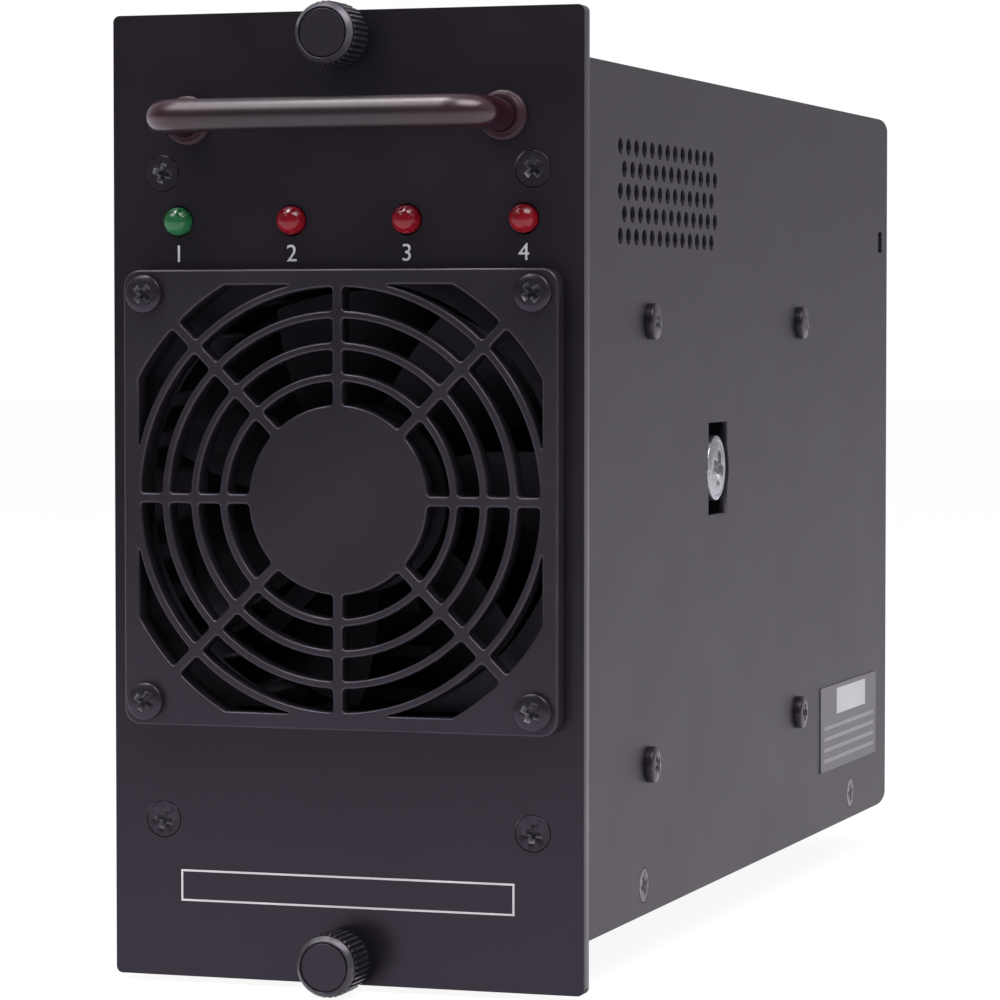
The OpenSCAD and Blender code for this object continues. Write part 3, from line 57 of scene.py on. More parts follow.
def wire(tree, node, inputs):
    """Sets a node's inputs to values, or joins them to other nodes' sockets or to their first output in use."""
    for key, value in inputs.items():
        if isinstance(value, bpy.types.Node):
            value = next(socket for socket in value.outputs if socket.enabled)
        if isinstance(value, bpy.types.NodeSocket):
            tree.links.new(value, node.inputs[key])
        else:
            node.inputs[key].default_value = value


def put(tree, kind, inputs=None, **settings):
    """Adds one node, sets it up and wires its inputs."""
    node = tree.nodes.new(kind)
    for name, value in settings.items():
        setattr(node, name, value)
    wire(tree, node, inputs or {})
    return node


def start_finish(name, **sockets):
    """A new material with its tree, its shader and the object's own coordinates."""
    material = bpy.data.materials.new(name)
    material.use_nodes = True
    tree = material.node_tree
    shader = tree.nodes["Principled BSDF"]
    for key, value in sockets.items():
        shader.inputs[key.replace("_", " ").title().replace("Ior", "IOR")].default_value = value
    return material, tree, shader, put(tree, "ShaderNodeTexCoord").outputs["Object"]


# Width of a cloud of colour and of a patch in the pale colour for wear and painted highlights, and how far the grain
# shows in the colour.
CLOUD, PALE_PATCH, GRAIN_SHARE = 22.2222, 6.25, 0.35


def grained_finish(name, dark, light, grain, matt, relief, stretch=(1, 1, 1), worn=None, **sockets):
    """A finish with cloudy colour, a fine grain of that many millimetres, a roughness span and a bump."""
    material, tree, shader, place = start_finish(name, **sockets)
    along = put(tree, "ShaderNodeMapping", {"Vector": place, "Scale": stretch})
    fine = put(tree, "ShaderNodeTexNoise", {"Vector": along, "Scale": 1 / (grain * MM), "Detail": 3})
    cloud = put(tree, "ShaderNodeTexNoise", {"Vector": place, "Scale": 1 / (CLOUD * MM), "Detail": 4})
    mixed = put(tree, "ShaderNodeMath", {0: fine, 1: GRAIN_SHARE, 2: cloud}, operation="MULTIPLY_ADD")
    ramp = put(tree, "ShaderNodeValToRGB", {"Fac": mixed})
    for stop, position, tone in zip(ramp.color_ramp.elements, (0.45, 0.9), (dark, light)):
        stop.position, stop.color = position, linear(tone)
    colour = ramp
    # Faces marked in the attribute take the pale colour: edge wear, a painted highlight on the knob's rim and painted
    # glints in screw recesses.
    if worn:
        edge = put(tree, "ShaderNodeAttribute", attribute_name="edge_wear").outputs["Fac"]
        patch = put(tree, "ShaderNodeTexNoise", {"Vector": place, "Scale": 1 / (PALE_PATCH * MM), "Detail": 5})
        patchy = put(tree, "ShaderNodeMapRange", {"Value": patch, 1: 0.45, 2: 0.7, 3: 0.15, 4: 0.75})
        share = put(tree, "ShaderNodeMath", {0: edge, 1: patchy}, operation="MULTIPLY")
        colour = put(tree, "ShaderNodeMix", {"Factor": share, 6: colour, 7: linear(worn)}, data_type="RGBA")
    rough = put(tree, "ShaderNodeMapRange", {"Value": mixed, 1: 0.4, 2: 0.95, 3: matt[0], 4: matt[1]})
    bump = put(tree, "ShaderNodeBump", {"Height": fine, "Distance": relief * MM, "Strength": 0.6})
    wire(tree, shader, {"Base Color": colour, "Roughness": rough, "Normal": bump})
    return material


def placed(name, data):
    """A new object at the origin, linked to the scene."""
    piece = bpy.data.objects.new(name, data)
    bpy.context.collection.objects.link(piece)
    return piece


def made(name, work, material, crease=40):
    """The finished mesh as an object at the origin, shaded smooth up to the crease angle if it has one."""
    mesh = bpy.data.meshes.new(name)
    work.to_mesh(mesh)
    work.free()
    mesh.materials.append(material)
    if crease:
        mesh.polygons.foreach_set("use_smooth", [True] * len(mesh.polygons))
        mesh.set_sharp_from_angle(angle=radians(crease))
    return placed(name, mesh)


def rub(work, share):
    """Marks each face with its share of the pale colour, as share says: wear on edges and crests, a painted highlight
    on the knob's rim, and driver wear with painted glints in screw recesses.
    """
    wear = work.faces.layers.float.new("edge_wear")
    for face in work.faces:
        face[wear] = share(face)


def fit(piece, slot, *nodes, body="amplifier"):
    """Lets a finished piece ride on its body in place of the CAD nodes it stands for."""
    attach(piece, body)
    if nodes:
        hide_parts(*nodes)


# Points this close are one, and an edge up to FACET long is one facet of a round rim. Angles between
# faces: up to FLAT they are one face, from BENT to SHARP a bend shaded smooth, and past SHARP an edge.
MERGE, FACET = 0.002, 0.5
FLAT, BENT, SHARP = radians(0.4), radians(0.5), radians(35)


def fit_eased(node, name, material, slot, ease, rim=0.0):
    """Fits a copy of a CAD node, its faces merged, its long outer edges eased by ease and its round rims by rim."""
    work = bmesh.new()
    work.from_mesh(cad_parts[node].data)
    bmesh.ops.remove_doubles(work, verts=work.verts, dist=MERGE * MM)
    bmesh.ops.dissolve_limit(work, angle_limit=FLAT, verts=work.verts, edges=work.edges)
    wear = work.faces.layers.float.new("edge_wear")
    for face in work.faces:
        face.smooth = any(BENT < e.calc_face_angle(0) < SHARP for e in face.edges)
    for width, shortest, longest in ((ease, FACET, inf), (rim, 0, FACET)):
        sharp = [e for e in work.edges if len(e.link_faces) == 2 and shortest * MM < e.calc_length() <= longest * MM
                 and not any(face[wear] for face in e.link_faces) and e.calc_face_angle_signed(0) > SHARP]
        if width and sharp:
            rounded = bmesh.ops.bevel(work, geom=sharp, offset=width * MM, offset_type="OFFSET", segments=2,
                                      profile=0.5, affect="EDGES", clamp_overlap=True, loop_slide=True)
            for face in rounded["faces"]:
                face[wear] = 1
                face.smooth = True
    fit(made(name, work, material, crease=0), slot, node)


# Black pieces share a cool violet sheen. Bare and plated metals are metallic through and through.
cool_finish = partial(grained_finish, specular_tint=(0.9, 0.78, 1.0, 1))
metal_finish = partial(grained_finish, metallic=1)
# Polyester powder coat: satin black with a slight orange peel about 0.35 mm across.
powder_coat = cool_finish("satin_powder_coat", "#151317", "#1b191d", 0.35, (0.43, 0.48), 0.02, worn="#454349")
for node, name in (("chassis_tray", "tray_sheet"), ("side_cover", "cover_sheet"), ("rear_panel", "rear_sheet")):
    fit_eased(node, name, powder_coat, "black_sheet", ease=0.3, rim=0.12)


# Front bulkhead: a plain aluminium sheet behind the panel, with tabs held to the tray by four blind
# rivets. The rivets are black-coated aluminium, domed outside with a hole where the mandrel snapped.
def coat(material, *nodes):
    """Gives CAD nodes that keep their own shape a finish."""
    for name in nodes:
        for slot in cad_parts[name].material_slots:
            slot.material = material


# Mill-finish aluminium sheet: bright grey with rolling lines along its length, about 0.2 mm apart.
mill_aluminium = metal_finish("mill_finish_aluminium", "#8d9094", "#a9acb0", 0.2, (0.3, 0.45), 0.004,
                              stretch=(1, 0.05, 1))
coat(mill_aluminium, "front_bulkhead")


def turned(profile, steps=48, ring=False):
    """Shape turned on a lathe round +Z from (radius, height) points in millimetres, joined up if a ring."""
    work = bmesh.new()
    rings = []
    for radius, height in profile:
        angles = [tau * i / steps for i in range(steps if radius else 1)]
        rings.append([work.verts.new((radius * cos(a) * MM, radius * sin(a) * MM, height * MM)) for a in angles])
    for low, high in zip(rings, rings[1:] + rings[:1] if ring else rings[1:]):
        for i in range(steps):
            j = (i + 1) % steps
            corners = [low[i % len(low)], low[j % len(low)], high[j % len(high)], high[i % len(high)]]
            work.faces.new(list(dict.fromkeys(corners)))
    bmesh.ops.recalc_face_normals(work, faces=work.faces)
    return work


def tree_with(name, **sockets):
    """An empty Geometry Nodes tree that takes a geometry and the named inputs, and gives a geometry."""
    tree = bpy.data.node_groups.new(name, "GeometryNodeTree")
    for way in ("OUTPUT", "INPUT"):
        tree.interface.new_socket("Geometry", in_out=way, socket_type="NodeSocketGeometry")
    for label, kind in sockets.items():
        tree.interface.new_socket(label, in_out="INPUT", socket_type="NodeSocket" + kind)
    return tree, put(tree, "NodeGroupInput").outputs


def close_tree(tree, geometry, finish):
    """Realizes what the tree has instanced, sets its finish and hands it out."""
    whole = put(tree, "GeometryNodeRealizeInstances", {"Geometry": geometry})
    painted = put(tree, "GeometryNodeSetMaterial", {"Geometry": whole, "Material": finish})
    put(tree, "NodeGroupOutput", {"Geometry": painted})


def flattened(piece):
    """The mesh that an object comes to once its modifiers have run."""
    return bpy.data.meshes.new_from_object(piece.evaluated_get(bpy.context.evaluated_depsgraph_get()))


def grown(piece, tree, **values):
    """Runs a tree on a piece with the given inputs and keeps the result as its plain mesh."""
    modifier = piece.modifiers.new(tree.name, "NODES")
    modifier.node_group = tree
    for item in tree.interface.items_tree:
        if item.in_out == "INPUT" and item.name in values:
            modifier[item.identifier] = values[item.name]
    result = flattened(piece)
    piece.modifiers.clear()
    piece.data = result
    result.name = piece.name
    return piece


# One fastener on each seat point, turned to face out of its sheet and spun by chance about its own axis.
seats_tree, given = tree_with("fastener_seats", Fastener="Object", Facing="Vector", Seed="Int", Finish="Material")
single = put(seats_tree, "GeometryNodeObjectInfo", {"Object": given["Fastener"]}).outputs["Geometry"]
outward = put(seats_tree, "FunctionNodeEulerToRotation", {0: given["Facing"]})
spread = put(seats_tree, "GeometryNodeInstanceOnPoints",
             {"Points": given["Geometry"], "Instance": single, "Rotation": outward})
chance = put(seats_tree, "FunctionNodeRandomValue", {0: (0, 0, 0), 1: (0, 0, tau), "Seed": given["Seed"]},
             data_type="FLOAT_VECTOR")
spin = put(seats_tree, "FunctionNodeEulerToRotation", {0: chance})
spun = put(seats_tree, "GeometryNodeRotateInstances", {"Instances": spread, "Rotation": spin, "Local Space": True})
close_tree(seats_tree, spun, given["Finish"])
FRONT, RIGHT, LEFT, REAR, DOWN = (90, 0, 0), (0, 90, 0), (0, -90, 0), (-90, 0, 0), (180, 0, 0)


def seated(name, fastener, places, facing, seed=1, again=False):
    """Copies of a fastener standing on the given places. It goes afterwards unless it is used again."""
    finish = fastener.data.materials[0]
    points = bmesh.new()
    for place in places:
        points.verts.new(Vector(place) * MM)
    group = made(name, points, finish)
    grown(group, seats_tree, Fastener=fastener, Facing=[radians(a) for a in facing], Seed=seed, Finish=finish)
    group.data.set_sharp_from_angle(angle=SHARP)
    if not again:
        bpy.data.objects.remove(fastener)
    return group


def joined(name, *groups):
    """Several groups of one body as one piece."""
    work = bmesh.new()
    for group in groups:
        work.from_mesh(group.data)
    piece = made(name, work, groups[0].data.materials[0], crease=35)
    for group in groups:
        bpy.data.objects.remove(group)
    return piece


# Blackened rivet: satin, with the coat thin on the dome.
rivet_black = grained_finish("black_coated_aluminium", "#1c1b1e", "#2b2a2d", 0.3, (0.35, 0.5), 0.01)
RIVET = [(0, -4.2), (2.2, -4.2), (2.2, -3.2), (1.6, -3.2), (1.6, 0), (3, 0), (2.95, 0.3), (2.5, 0.75), (1.6, 1),
         (0.8, 1), (0.8, 0.5), (0, 0.5)]
WALL_X, BOTTOM_Z, RIVET_X, RIVET_Y, RIVET_Z = 42.25, -76.2, 20, 6.6, 54
rivet = made("rivet_master", turned(RIVET, 32), rivet_black)
left_seats = [(-WALL_X, RIVET_Y, z) for z in (-RIVET_Z, RIVET_Z)]
floor_seats = [(x, RIVET_Y, BOTTOM_Z) for x in (-RIVET_X, RIVET_X)]
rivets = [seated("left_rivets", rivet, left_seats, LEFT, again=True),
          seated("floor_rivets", rivet, floor_seats, DOWN)]
fit(joined("blind_rivets", *rivets), "black_screw", "bulkhead_rivets")


# Front panel: a 3 mm aluminium plate, bead-blasted and dyed black in the anodising bath, with the
# fan's air opening and the screw and lamp holes cut through it and its rim lightly broken.
# Black anodising: even satin with a grain too fine to show, drawn at 0.3 mm.
black_anodising = cool_finish("black_anodising", "#121014", "#181519", 0.3, (0.26, 0.32), 0.006, worn="#57545b")
fit_eased("front_panel", "panel_plate", black_anodising, "black_panel", ease=0.25, rim=0.15)

# Silk-screen ink: pale warm grey, slightly broken at its edges by the plate's grain.
screen_ink = grained_finish("pale_screen_ink", "#a9a7ab", "#c9c7ca", 0.25, (0.5, 0.65), 0.004)
PANEL_FRONT, INK = -3.0, 0.03


def skinned(work, rings):
    """Faces from each ring of points to the next and over both ends, all turned outward."""
    for low, high in zip(rings, rings[1:]):
        for i in range(len(low)):
            work.faces.new((low[i - 1], low[i], high[i], high[i - 1]))
    work.faces.new(rings[0])
    work.faces.new(rings[-1])
    bmesh.ops.recalc_face_normals(work, faces=work.faces)


def printed(name, shapes, material):
    """Flat shapes in X and Z as one film of ink on the panel's front."""
    work = bmesh.new()
    for outline in shapes:
        skinned(work, [[work.verts.new(Vector((x, y, z)) * MM) for x, z in outline]
                       for y in (PANEL_FRONT - INK, PANEL_FRONT + INK)])
    return made(name, work, material, crease=30)


def oblong(x0, z0, x1, z1):
    """Corners of an upright oblong."""
    return [(x0, z0), (x1, z0), (x1, z1), (x0, z1)]


# An empty strip to write on, drawn as the four sides of a thin frame.
STRIP_X, STRIP_LOW, STRIP_HIGH, LINE = 31, -71.4, -65.8, 0.35
sides = [oblong(-STRIP_X, z, STRIP_X, z + LINE) for z in (STRIP_LOW, STRIP_HIGH - LINE)]
sides += [oblong(x, STRIP_LOW + LINE, x + LINE, STRIP_HIGH - LINE) for x in (-STRIP_X, STRIP_X - LINE)]
fit(printed("write_on_frame", sides, screen_ink), "label_film")


def drawn(shape):
    """The mesh of a curve or of a text."""
    holder = placed(shape.name, shape)
    mesh = flattened(holder)
    bpy.data.objects.remove(holder)
    return mesh


# Plain numbers under the lamps. DIGIT is the share of the letter size that a digit is high.
NUMBER_Z, NUMBER_H, DIGIT = 41.4, 2.9, 0.69
LAMP_Z, LAMP_MIDDLE, LAMP_STEP = 48.5, 0.8, 21.27
LAMP_XS = [LAMP_MIDDLE + LAMP_STEP * k for k in (-1.5, -0.5, 0.5, 1.5)]
TO_FRONT = Matrix.Rotation(radians(90), 4, "X")
for number, lamp_x in enumerate(LAMP_XS, 1):
    words = bpy.data.curves.new("number", "FONT")
    words.body, words.align_x = str(number), "CENTER"
    words.size, words.extrude = NUMBER_H / DIGIT * MM, INK * MM
    mesh = drawn(words)
    mesh.transform(Matrix.Translation(Vector((lamp_x, PANEL_FRONT, NUMBER_Z)) * MM) @ TO_FRONT)
    mesh.materials.append(screen_ink)
    fit(placed("lamp_number_%d" % number, mesh), "label_film")


# Fan: an 80 mm axial fan moulded in black glass-filled plastic, screwed through guard, panel and
# bulkhead. Its wound stator and ball bearings sit in the hub, and the rotor carries seven curved blades.
# Glass-filled plastic: dull black with a fine moulded grain about 0.4 mm across.
moulded_plastic = cool_finish("glass_filled_plastic", "#111013", "#191719", 0.4, (0.45, 0.6), 0.012, worn="#39363c")
fit_eased("fan_frame", "fan_housing", moulded_plastic, "black_plastic", ease=0.3)
# Wound copper: enamelled wire laid in turns about 0.4 mm apart round the fan's axis.
enamelled_copper = metal_finish("enamelled_copper_wire", "#7a3f1c", "#b06a35", 0.4, (0.25, 0.4), 0.06,
                                stretch=(0.2, 1, 0.2))
coat(enamelled_copper, "fan_stator")
# Ground bearing steel: bright, with fine turning marks.
bright_steel = metal_finish("ground_steel", "#a9abb0", "#d2d4d8", 0.15, (0.15, 0.28), 0.003, stretch=(1, 0.1, 1))
coat(bright_steel, "fan_bearings", "fan_shaft")

HUB_R, HUB_FRONT, HUB_REAR, HUB_WEB = 17.0, 2.6, 22.6, 4.1
HUB = [(0, HUB_WEB), (1.52, HUB_WEB), (1.52, 6.4), (3.5, 6.4), (3.5, HUB_WEB), (15.5, HUB_WEB), (15.5, HUB_REAR),
       (HUB_R, HUB_REAR), (HUB_R, 3.9), (16.6, 3.0), (15.7, HUB_FRONT), (9, HUB_FRONT), (0, HUB_FRONT)]
hub = made("rotor_hub", turned(HUB, 64), moulded_plastic)

# One blade: a cambered sheet from inside the hub to the tip, thick near its leading edge and thin behind.
# It sweeps less and leans on toward the tip.
BLADES, ROOT_R, TIP_R, BLADE_FRONT, BLADE_REAR, BLADE_T = 7, 16.4, 36.6, 5.0, 21.2, 1.4
SWEEP, SWEEP_LOSS, LEAN, CAMBER, THINNING = 48, 12, 0.1, 1.1, 0.65
NOSE, NOSE_RISE, SKIN_ALONG, SKIN_AROUND = 0.25, 6, 0.8, 0.6
SPAN, CHORD = 8, 10
blade = bmesh.new()
skins = []
for side in (1, -1):
    rows = []
    for i in range(SPAN + 1):
        out = i / SPAN
        radius = ROOT_R + (TIP_R - ROOT_R) * out
        row = []
        for k in range(CHORD + 1):
            along = k / CHORD
            thick = BLADE_T / 2 * (1 - THINNING * along) * min(1, NOSE + NOSE_RISE * along) * side
            angle = radians(SWEEP - SWEEP_LOSS * out) * (along - 0.5) + LEAN * out + thick * SKIN_AROUND / radius
            depth = BLADE_FRONT + (BLADE_REAR - BLADE_FRONT) * along
            depth += thick * SKIN_ALONG - CAMBER * sin(pi * along)
            row.append(blade.verts.new(Vector((radius * cos(angle), radius * sin(angle), depth)) * MM))
        rows.append(row)
    for low, high in zip(rows, rows[1:]):
        for k in range(CHORD):
            blade.faces.new((low[k], low[k + 1], high[k + 1], high[k]))
    skins.append(rows)
top_skin, bottom_skin = skins
edge = ([(0, k) for k in range(CHORD)] + [(i, CHORD) for i in range(SPAN)]
        + [(SPAN, k) for k in range(CHORD, 0, -1)] + [(i, 0) for i in range(SPAN, 0, -1)])
for (i, k), (m, n) in zip(edge, edge[1:] + edge[:1]):
    blade.faces.new((top_skin[i][k], top_skin[m][n], bottom_skin[m][n], bottom_skin[i][k]))
bmesh.ops.recalc_face_normals(blade, faces=blade.faces)
blade_master = made("blade_master", blade, moulded_plastic)

# Copies of one item in a ring round +Z, joined to the piece that carries them.
ring_tree, given = tree_with("item_ring", Item="Object", Count="Int", Radius="Float", Finish="Material")
circle = put(ring_tree, "GeometryNodeMeshCircle", {"Vertices": given["Count"], "Radius": given["Radius"]})
step = put(ring_tree, "ShaderNodeMath", {0: tau, 1: given["Count"]}, operation="DIVIDE")
order = put(ring_tree, "GeometryNodeInputIndex")
bearing = put(ring_tree, "ShaderNodeMath", {0: order, 1: step}, operation="MULTIPLY")
heading = put(ring_tree, "ShaderNodeCombineXYZ", {"Z": bearing})
turn = put(ring_tree, "FunctionNodeEulerToRotation", {0: heading})
item = put(ring_tree, "GeometryNodeObjectInfo", {"Object": given["Item"]}).outputs["Geometry"]
around = put(ring_tree, "GeometryNodeInstanceOnPoints", {"Points": circle, "Instance": item, "Rotation": turn})
both = put(ring_tree, "GeometryNodeJoinGeometry")
for source in (given["Geometry"], around):
    wire(ring_tree, both, {0: source})
close_tree(ring_tree, both, given["Finish"])

TO_REAR = Matrix.Rotation(radians(-90), 4, "X")
rotor = grown(hub, ring_tree, Item=blade_master, Count=BLADES, Radius=0.0, Finish=moulded_plastic)
rotor.data.transform(TO_REAR)
rotor.data.set_sharp_from_angle(angle=radians(40))
rotor.name = "fan_rotor_blades"
fit(rotor, "black_plastic", "fan_rotor", body="fan_spinner")
bpy.data.objects.remove(blade_master)


# Fan guard: one flat moulding with a square rim, four rings, eight spokes and a middle disc, in a
# harder black plastic with a satin skin, screwed down at its corners with blackened pan-head screws.
# Satin-skinned nylon: almost smooth, with a soft grain about 0.6 mm across.
guard_nylon = cool_finish("satin_black_nylon", "#1a171c", "#221f24", 0.6, (0.28, 0.36), 0.008, worn="#2c292f")
GUARD, GUARD_CORNER, GUARD_RIM, GUARD_FRONT, GUARD_BACK, GUARD_EASE = 80.0, 3.0, 2.8, -7.0, -3.0, 0.4
DISC_R, RING_OUT, RING_W, RINGS, CORNER_R = 16.5, 38.25, 1.4, 4, 42.7
SPOKES, SPOKE_W, FAN_HOLE, HOLE_R, HOLE_SIDES = 8, 1.8, 35.75, 2.0, 20
FAN_HOLES = [(x, z) for x in (-FAN_HOLE, FAN_HOLE) for z in (-FAN_HOLE, FAN_HOLE)]
# The guard's faces count as flat past FACE_ON and as side walls below EDGE_ON. Cuts are eased past CUT_EDGE.
FACE_ON, EDGE_ON, CUT_EDGE = 0.999, 0.05, radians(50)


def arc(radius, start, stop, steps=10, centre=(0, 0)):
    """Points along an arc from one angle to another."""
    angles = [start + (stop - start) * i / steps for i in range(steps + 1)]
    return [(centre[0] + radius * cos(a), centre[1] + radius * sin(a)) for a in angles]


def softened(outline, reach=0.7):
    """The same closed outline with each sharp corner rounded off, from that far before it to that far after."""
    points = [Vector(p) for p in outline]
    soft = []
    for i, here in enumerate(points):
        before, after = points[i - 1] - here, points[(i + 1) % len(points)] - here
        if before.angle(after) > radians(145):
            soft.append(here)
        else:
            start, end = here + before.normalized() * reach, here + after.normalized() * reach
            soft += [start.lerp(here, t).lerp(here.lerp(end, t), t) for t in (0, 0.25, 0.5, 0.75, 1)]
    return soft


def plate(name, rim, holes, front, back, ease, material):
    """Flat plate between two depths, cut to an outline and holes in X and Z, with rounded edges."""
    shape = bpy.data.curves.new(name, "CURVE")
    shape.dimensions, shape.fill_mode = "2D", "BOTH"
    shape.extrude, shape.bevel_depth, shape.offset = (back - front) / 2 * MM - ease * MM, ease * MM, -ease * MM
    shape.bevel_resolution = 2
    for outline in [rim] + [hole[::-1] for hole in holes]:
        spline = shape.splines.new("POLY")
        spline.points.add(len(outline) - 1)
        for point, (x, z) in zip(spline.points, outline):
            point.co = (x * MM, z * MM, 0, 1)
        spline.use_cyclic_u = True
    work = bmesh.new()
    work.from_mesh(drawn(shape))
    bmesh.ops.transform(work, verts=work.verts, matrix=Matrix.Translation((0, (front + back) / 2 * MM, 0)) @ TO_FRONT)
    bmesh.ops.remove_doubles(work, verts=work.verts, dist=MERGE * MM)
    bmesh.ops.recalc_face_normals(work, faces=work.faces)
    for face in work.faces:
        face.smooth = abs(face.normal.y) < FACE_ON
    rub(work, lambda face: EDGE_ON < abs(face.normal.y) < FACE_ON)
    return made(name, work, material, crease=0)


def spoke_side(radius):
    """Angle from a spoke's middle line to its side at a radius."""
    return asin(SPOKE_W / 2 / radius)


PITCH, STEP, INSIDE = (RING_OUT - DISC_R) / RINGS, tau / SPOKES, GUARD / 2 - GUARD_RIM
openings = [arc(HOLE_R, 0, tau * (1 - 1 / HOLE_SIDES), HOLE_SIDES - 1, hole) for hole in FAN_HOLES]
for ring in range(RINGS):
    near, far = DISC_R + ring * PITCH, DISC_R + (ring + 1) * PITCH - RING_W
    for spoke in range(SPOKES):
        start, stop = spoke * STEP, (spoke + 1) * STEP
        openings.append(softened(arc(far, start + spoke_side(far), stop - spoke_side(far))
                                 + arc(near, stop - spoke_side(near), start + spoke_side(near))))
leaving, bending = acos(INSIDE / RING_OUT), acos(INSIDE / CORNER_R)
half_corner = softened(arc(CORNER_R, bending, STEP - spoke_side(CORNER_R))
                       + arc(RING_OUT, STEP - spoke_side(RING_OUT), leaving))
rim_line = []
for quarter in range(4):
    start = quarter * pi / 2
    turn_by = Matrix.Rotation(start, 2)
    openings.append([turn_by @ p for p in half_corner])
    openings.append([turn_by @ Vector((p.y, p.x)) for p in reversed(half_corner)])
    rim_line += arc(GUARD_CORNER, start, start + pi / 2, 8, turn_by @ Vector([GUARD / 2 - GUARD_CORNER] * 2))
fit(plate("guard_grille", rim_line, openings, GUARD_FRONT, GUARD_BACK, GUARD_EASE, guard_nylon),
    "black_plastic", "fan_guard")


def cut(piece, cutter, ease=0.0):
    """Takes the cutter out of the piece, eases the cut's edges and keeps the result as a plain mesh."""
    carve = piece.modifiers.new("carve", "BOOLEAN")
    carve.operation, carve.solver, carve.object = "DIFFERENCE", "EXACT", cutter
    if ease:
        soften = piece.modifiers.new("soften", "BEVEL")
        soften.width, soften.segments, soften.limit_method = ease * MM, 2, "ANGLE"
        soften.angle_limit = CUT_EDGE
    result = flattened(piece)
    piece.modifiers.clear()
    piece.data = result
    bpy.data.objects.remove(cutter)


# A screw's end is chamfered by END_IN over END_UP. Its recess starts OVER above the head and SLACK wider, and
# narrows to a share of its size. Its walls are painted pale: driver wear and painted glints.
END_IN, END_UP, OVER, SLACK, SPAN_SHARE, WIDTH_SHARE = 0.4, 0.6, 0.2, 0.05, 1 / 3.4, 1 / 3.2
RECESS_EASE, PALE_REACH, BELOW, WALL_SLOPE = 0.08, 0.15, 0.1, 0.93


def cross_screw(head, shank_l, recess, finish):
    """Cross-recessed screw on +Z with its seat at 0: head profile from the rim up, shank below."""
    shank_r, top = head[0][0], head[-1][1]
    end = [(0, -shank_l), (shank_r - END_IN, -shank_l), (shank_r, END_UP - shank_l)]
    screw = made("screw_master", turned(end + head, 40), finish)
    span, width, depth = recess
    bottom = top - depth
    cross = bmesh.new()
    rings = []
    for height, reach, half in ((top + OVER, span / 2 + SLACK, width / 2 + SLACK),
                                (bottom, span * SPAN_SHARE, width * WIDTH_SHARE)):
        outline = [(reach, half), (half, half), (half, reach), (-half, reach), (-half, half), (-reach, half),
                   (-reach, -half), (-half, -half), (-half, -reach), (half, -reach), (half, -half), (reach, -half)]
        rings.append([cross.verts.new(Vector((x, y, height)) * MM) for x, y in outline])
    skinned(cross, rings)
    cut(screw, made("recess", cross, finish), RECESS_EASE)
    work = bmesh.new()
    work.from_mesh(screw.data)
    # Recess walls take the pale colour, as driver wear and as painted glints.
    rub(work, lambda face: face.calc_center_median().xy.length < (span / 2 + PALE_REACH) * MM
        and face.calc_center_median().z > (bottom - BELOW) * MM and face.normal.z < WALL_SLOPE)
    work.to_mesh(screw.data)
    work.free()
    return screw


# Blackened steel: near black with an oily sheen, painted brighter on the recess walls for driver wear and painted
# glints.
black_steel = cool_finish("black_oxide_steel", "#110f13", "#1f1c21", 0.25, (0.2, 0.34), 0.012, worn="#8a888c")
PAN_CROSS = (3.8, 1.2, 1.3)
PAN_HEAD = [(1.75, 0), (3.2, 0), (3.3, 0.1), (3.3, 1.15), (3.24, 1.29), (3.08, 1.41), (2.2, 1.56), (1.2, 1.66),
            (0, 1.7)]
fan_screw = cross_screw(PAN_HEAD, 37, PAN_CROSS, black_steel)
corners = [(x, GUARD_FRONT, z) for x, z in FAN_HOLES]
fit(seated("guard_screws", fan_screw, corners, FRONT, seed=4), "black_screw", "fan_screws")

# Bright zinc plate: pale grey steel with a faint bluish cloud.
zinc_plate = metal_finish("zinc_plated_steel", "#b4b6bc", "#d6d7da", 0.5, (0.22, 0.38), 0.006)
coat(zinc_plate, "fan_nuts", "clinch_nuts", "handle_screws", "led_board_screws", "transistor_screws",
     "isolator_screws", "control_screws")


# Flush screws: blackened countersunk screws with cross recesses hold the panel to the bulkhead, the
# cover to the tray, the rear panel to the left wall and the heat sink to the floor.
FLUSH_HEAD = [(1.75, -1.5), (3.05, -0.12), (3.12, -0.05), (3.05, 0.0), (0, 0.0)]
PANEL_X, PANEL_Z, COVER_YS, COVER_Z = 34.3, 57, (37.8, 196.4), 70.8
REAR_SCREW_Y, REAR_SCREW_Z, SINK_X, SINK_YS = 221.5, 49, 7, (57.05, 117.05, 177.05)
flush_screw = cross_screw(FLUSH_HEAD, 6.5, (3.6, 1.1, 1.2), black_steel)
panel_seats = [(x, PANEL_FRONT, z) for x in (-PANEL_X, PANEL_X) for z in (-PANEL_Z, PANEL_Z)]
right_seats = [(WALL_X, y, -COVER_Z) for y in COVER_YS]
left_seats = [(-WALL_X, y, COVER_Z) for y in COVER_YS]
rear_seats = [(-WALL_X, REAR_SCREW_Y, z) for z in (-REAR_SCREW_Z, REAR_SCREW_Z)]
sink_seats = [(SINK_X, y, BOTTOM_Z) for y in SINK_YS]
fit(seated("panel_flush_screws", flush_screw, panel_seats, FRONT, seed=2, again=True), "black_screw", "panel_screws")
cover_heads = [seated("cover_right", flush_screw, right_seats, RIGHT, seed=5, again=True),
               seated("cover_left", flush_screw, left_seats, LEFT, seed=6, again=True)]
fit(joined("cover_flush_heads", *cover_heads), "black_screw", "cover_flush_screws")
fit(seated("rear_flush_heads", flush_screw, rear_seats, LEFT, seed=7, again=True), "black_screw", "rear_panel_screws")
fit(seated("sink_flush_heads", flush_screw, sink_seats, DOWN, seed=8), "black_screw", "heat_sink_screws")


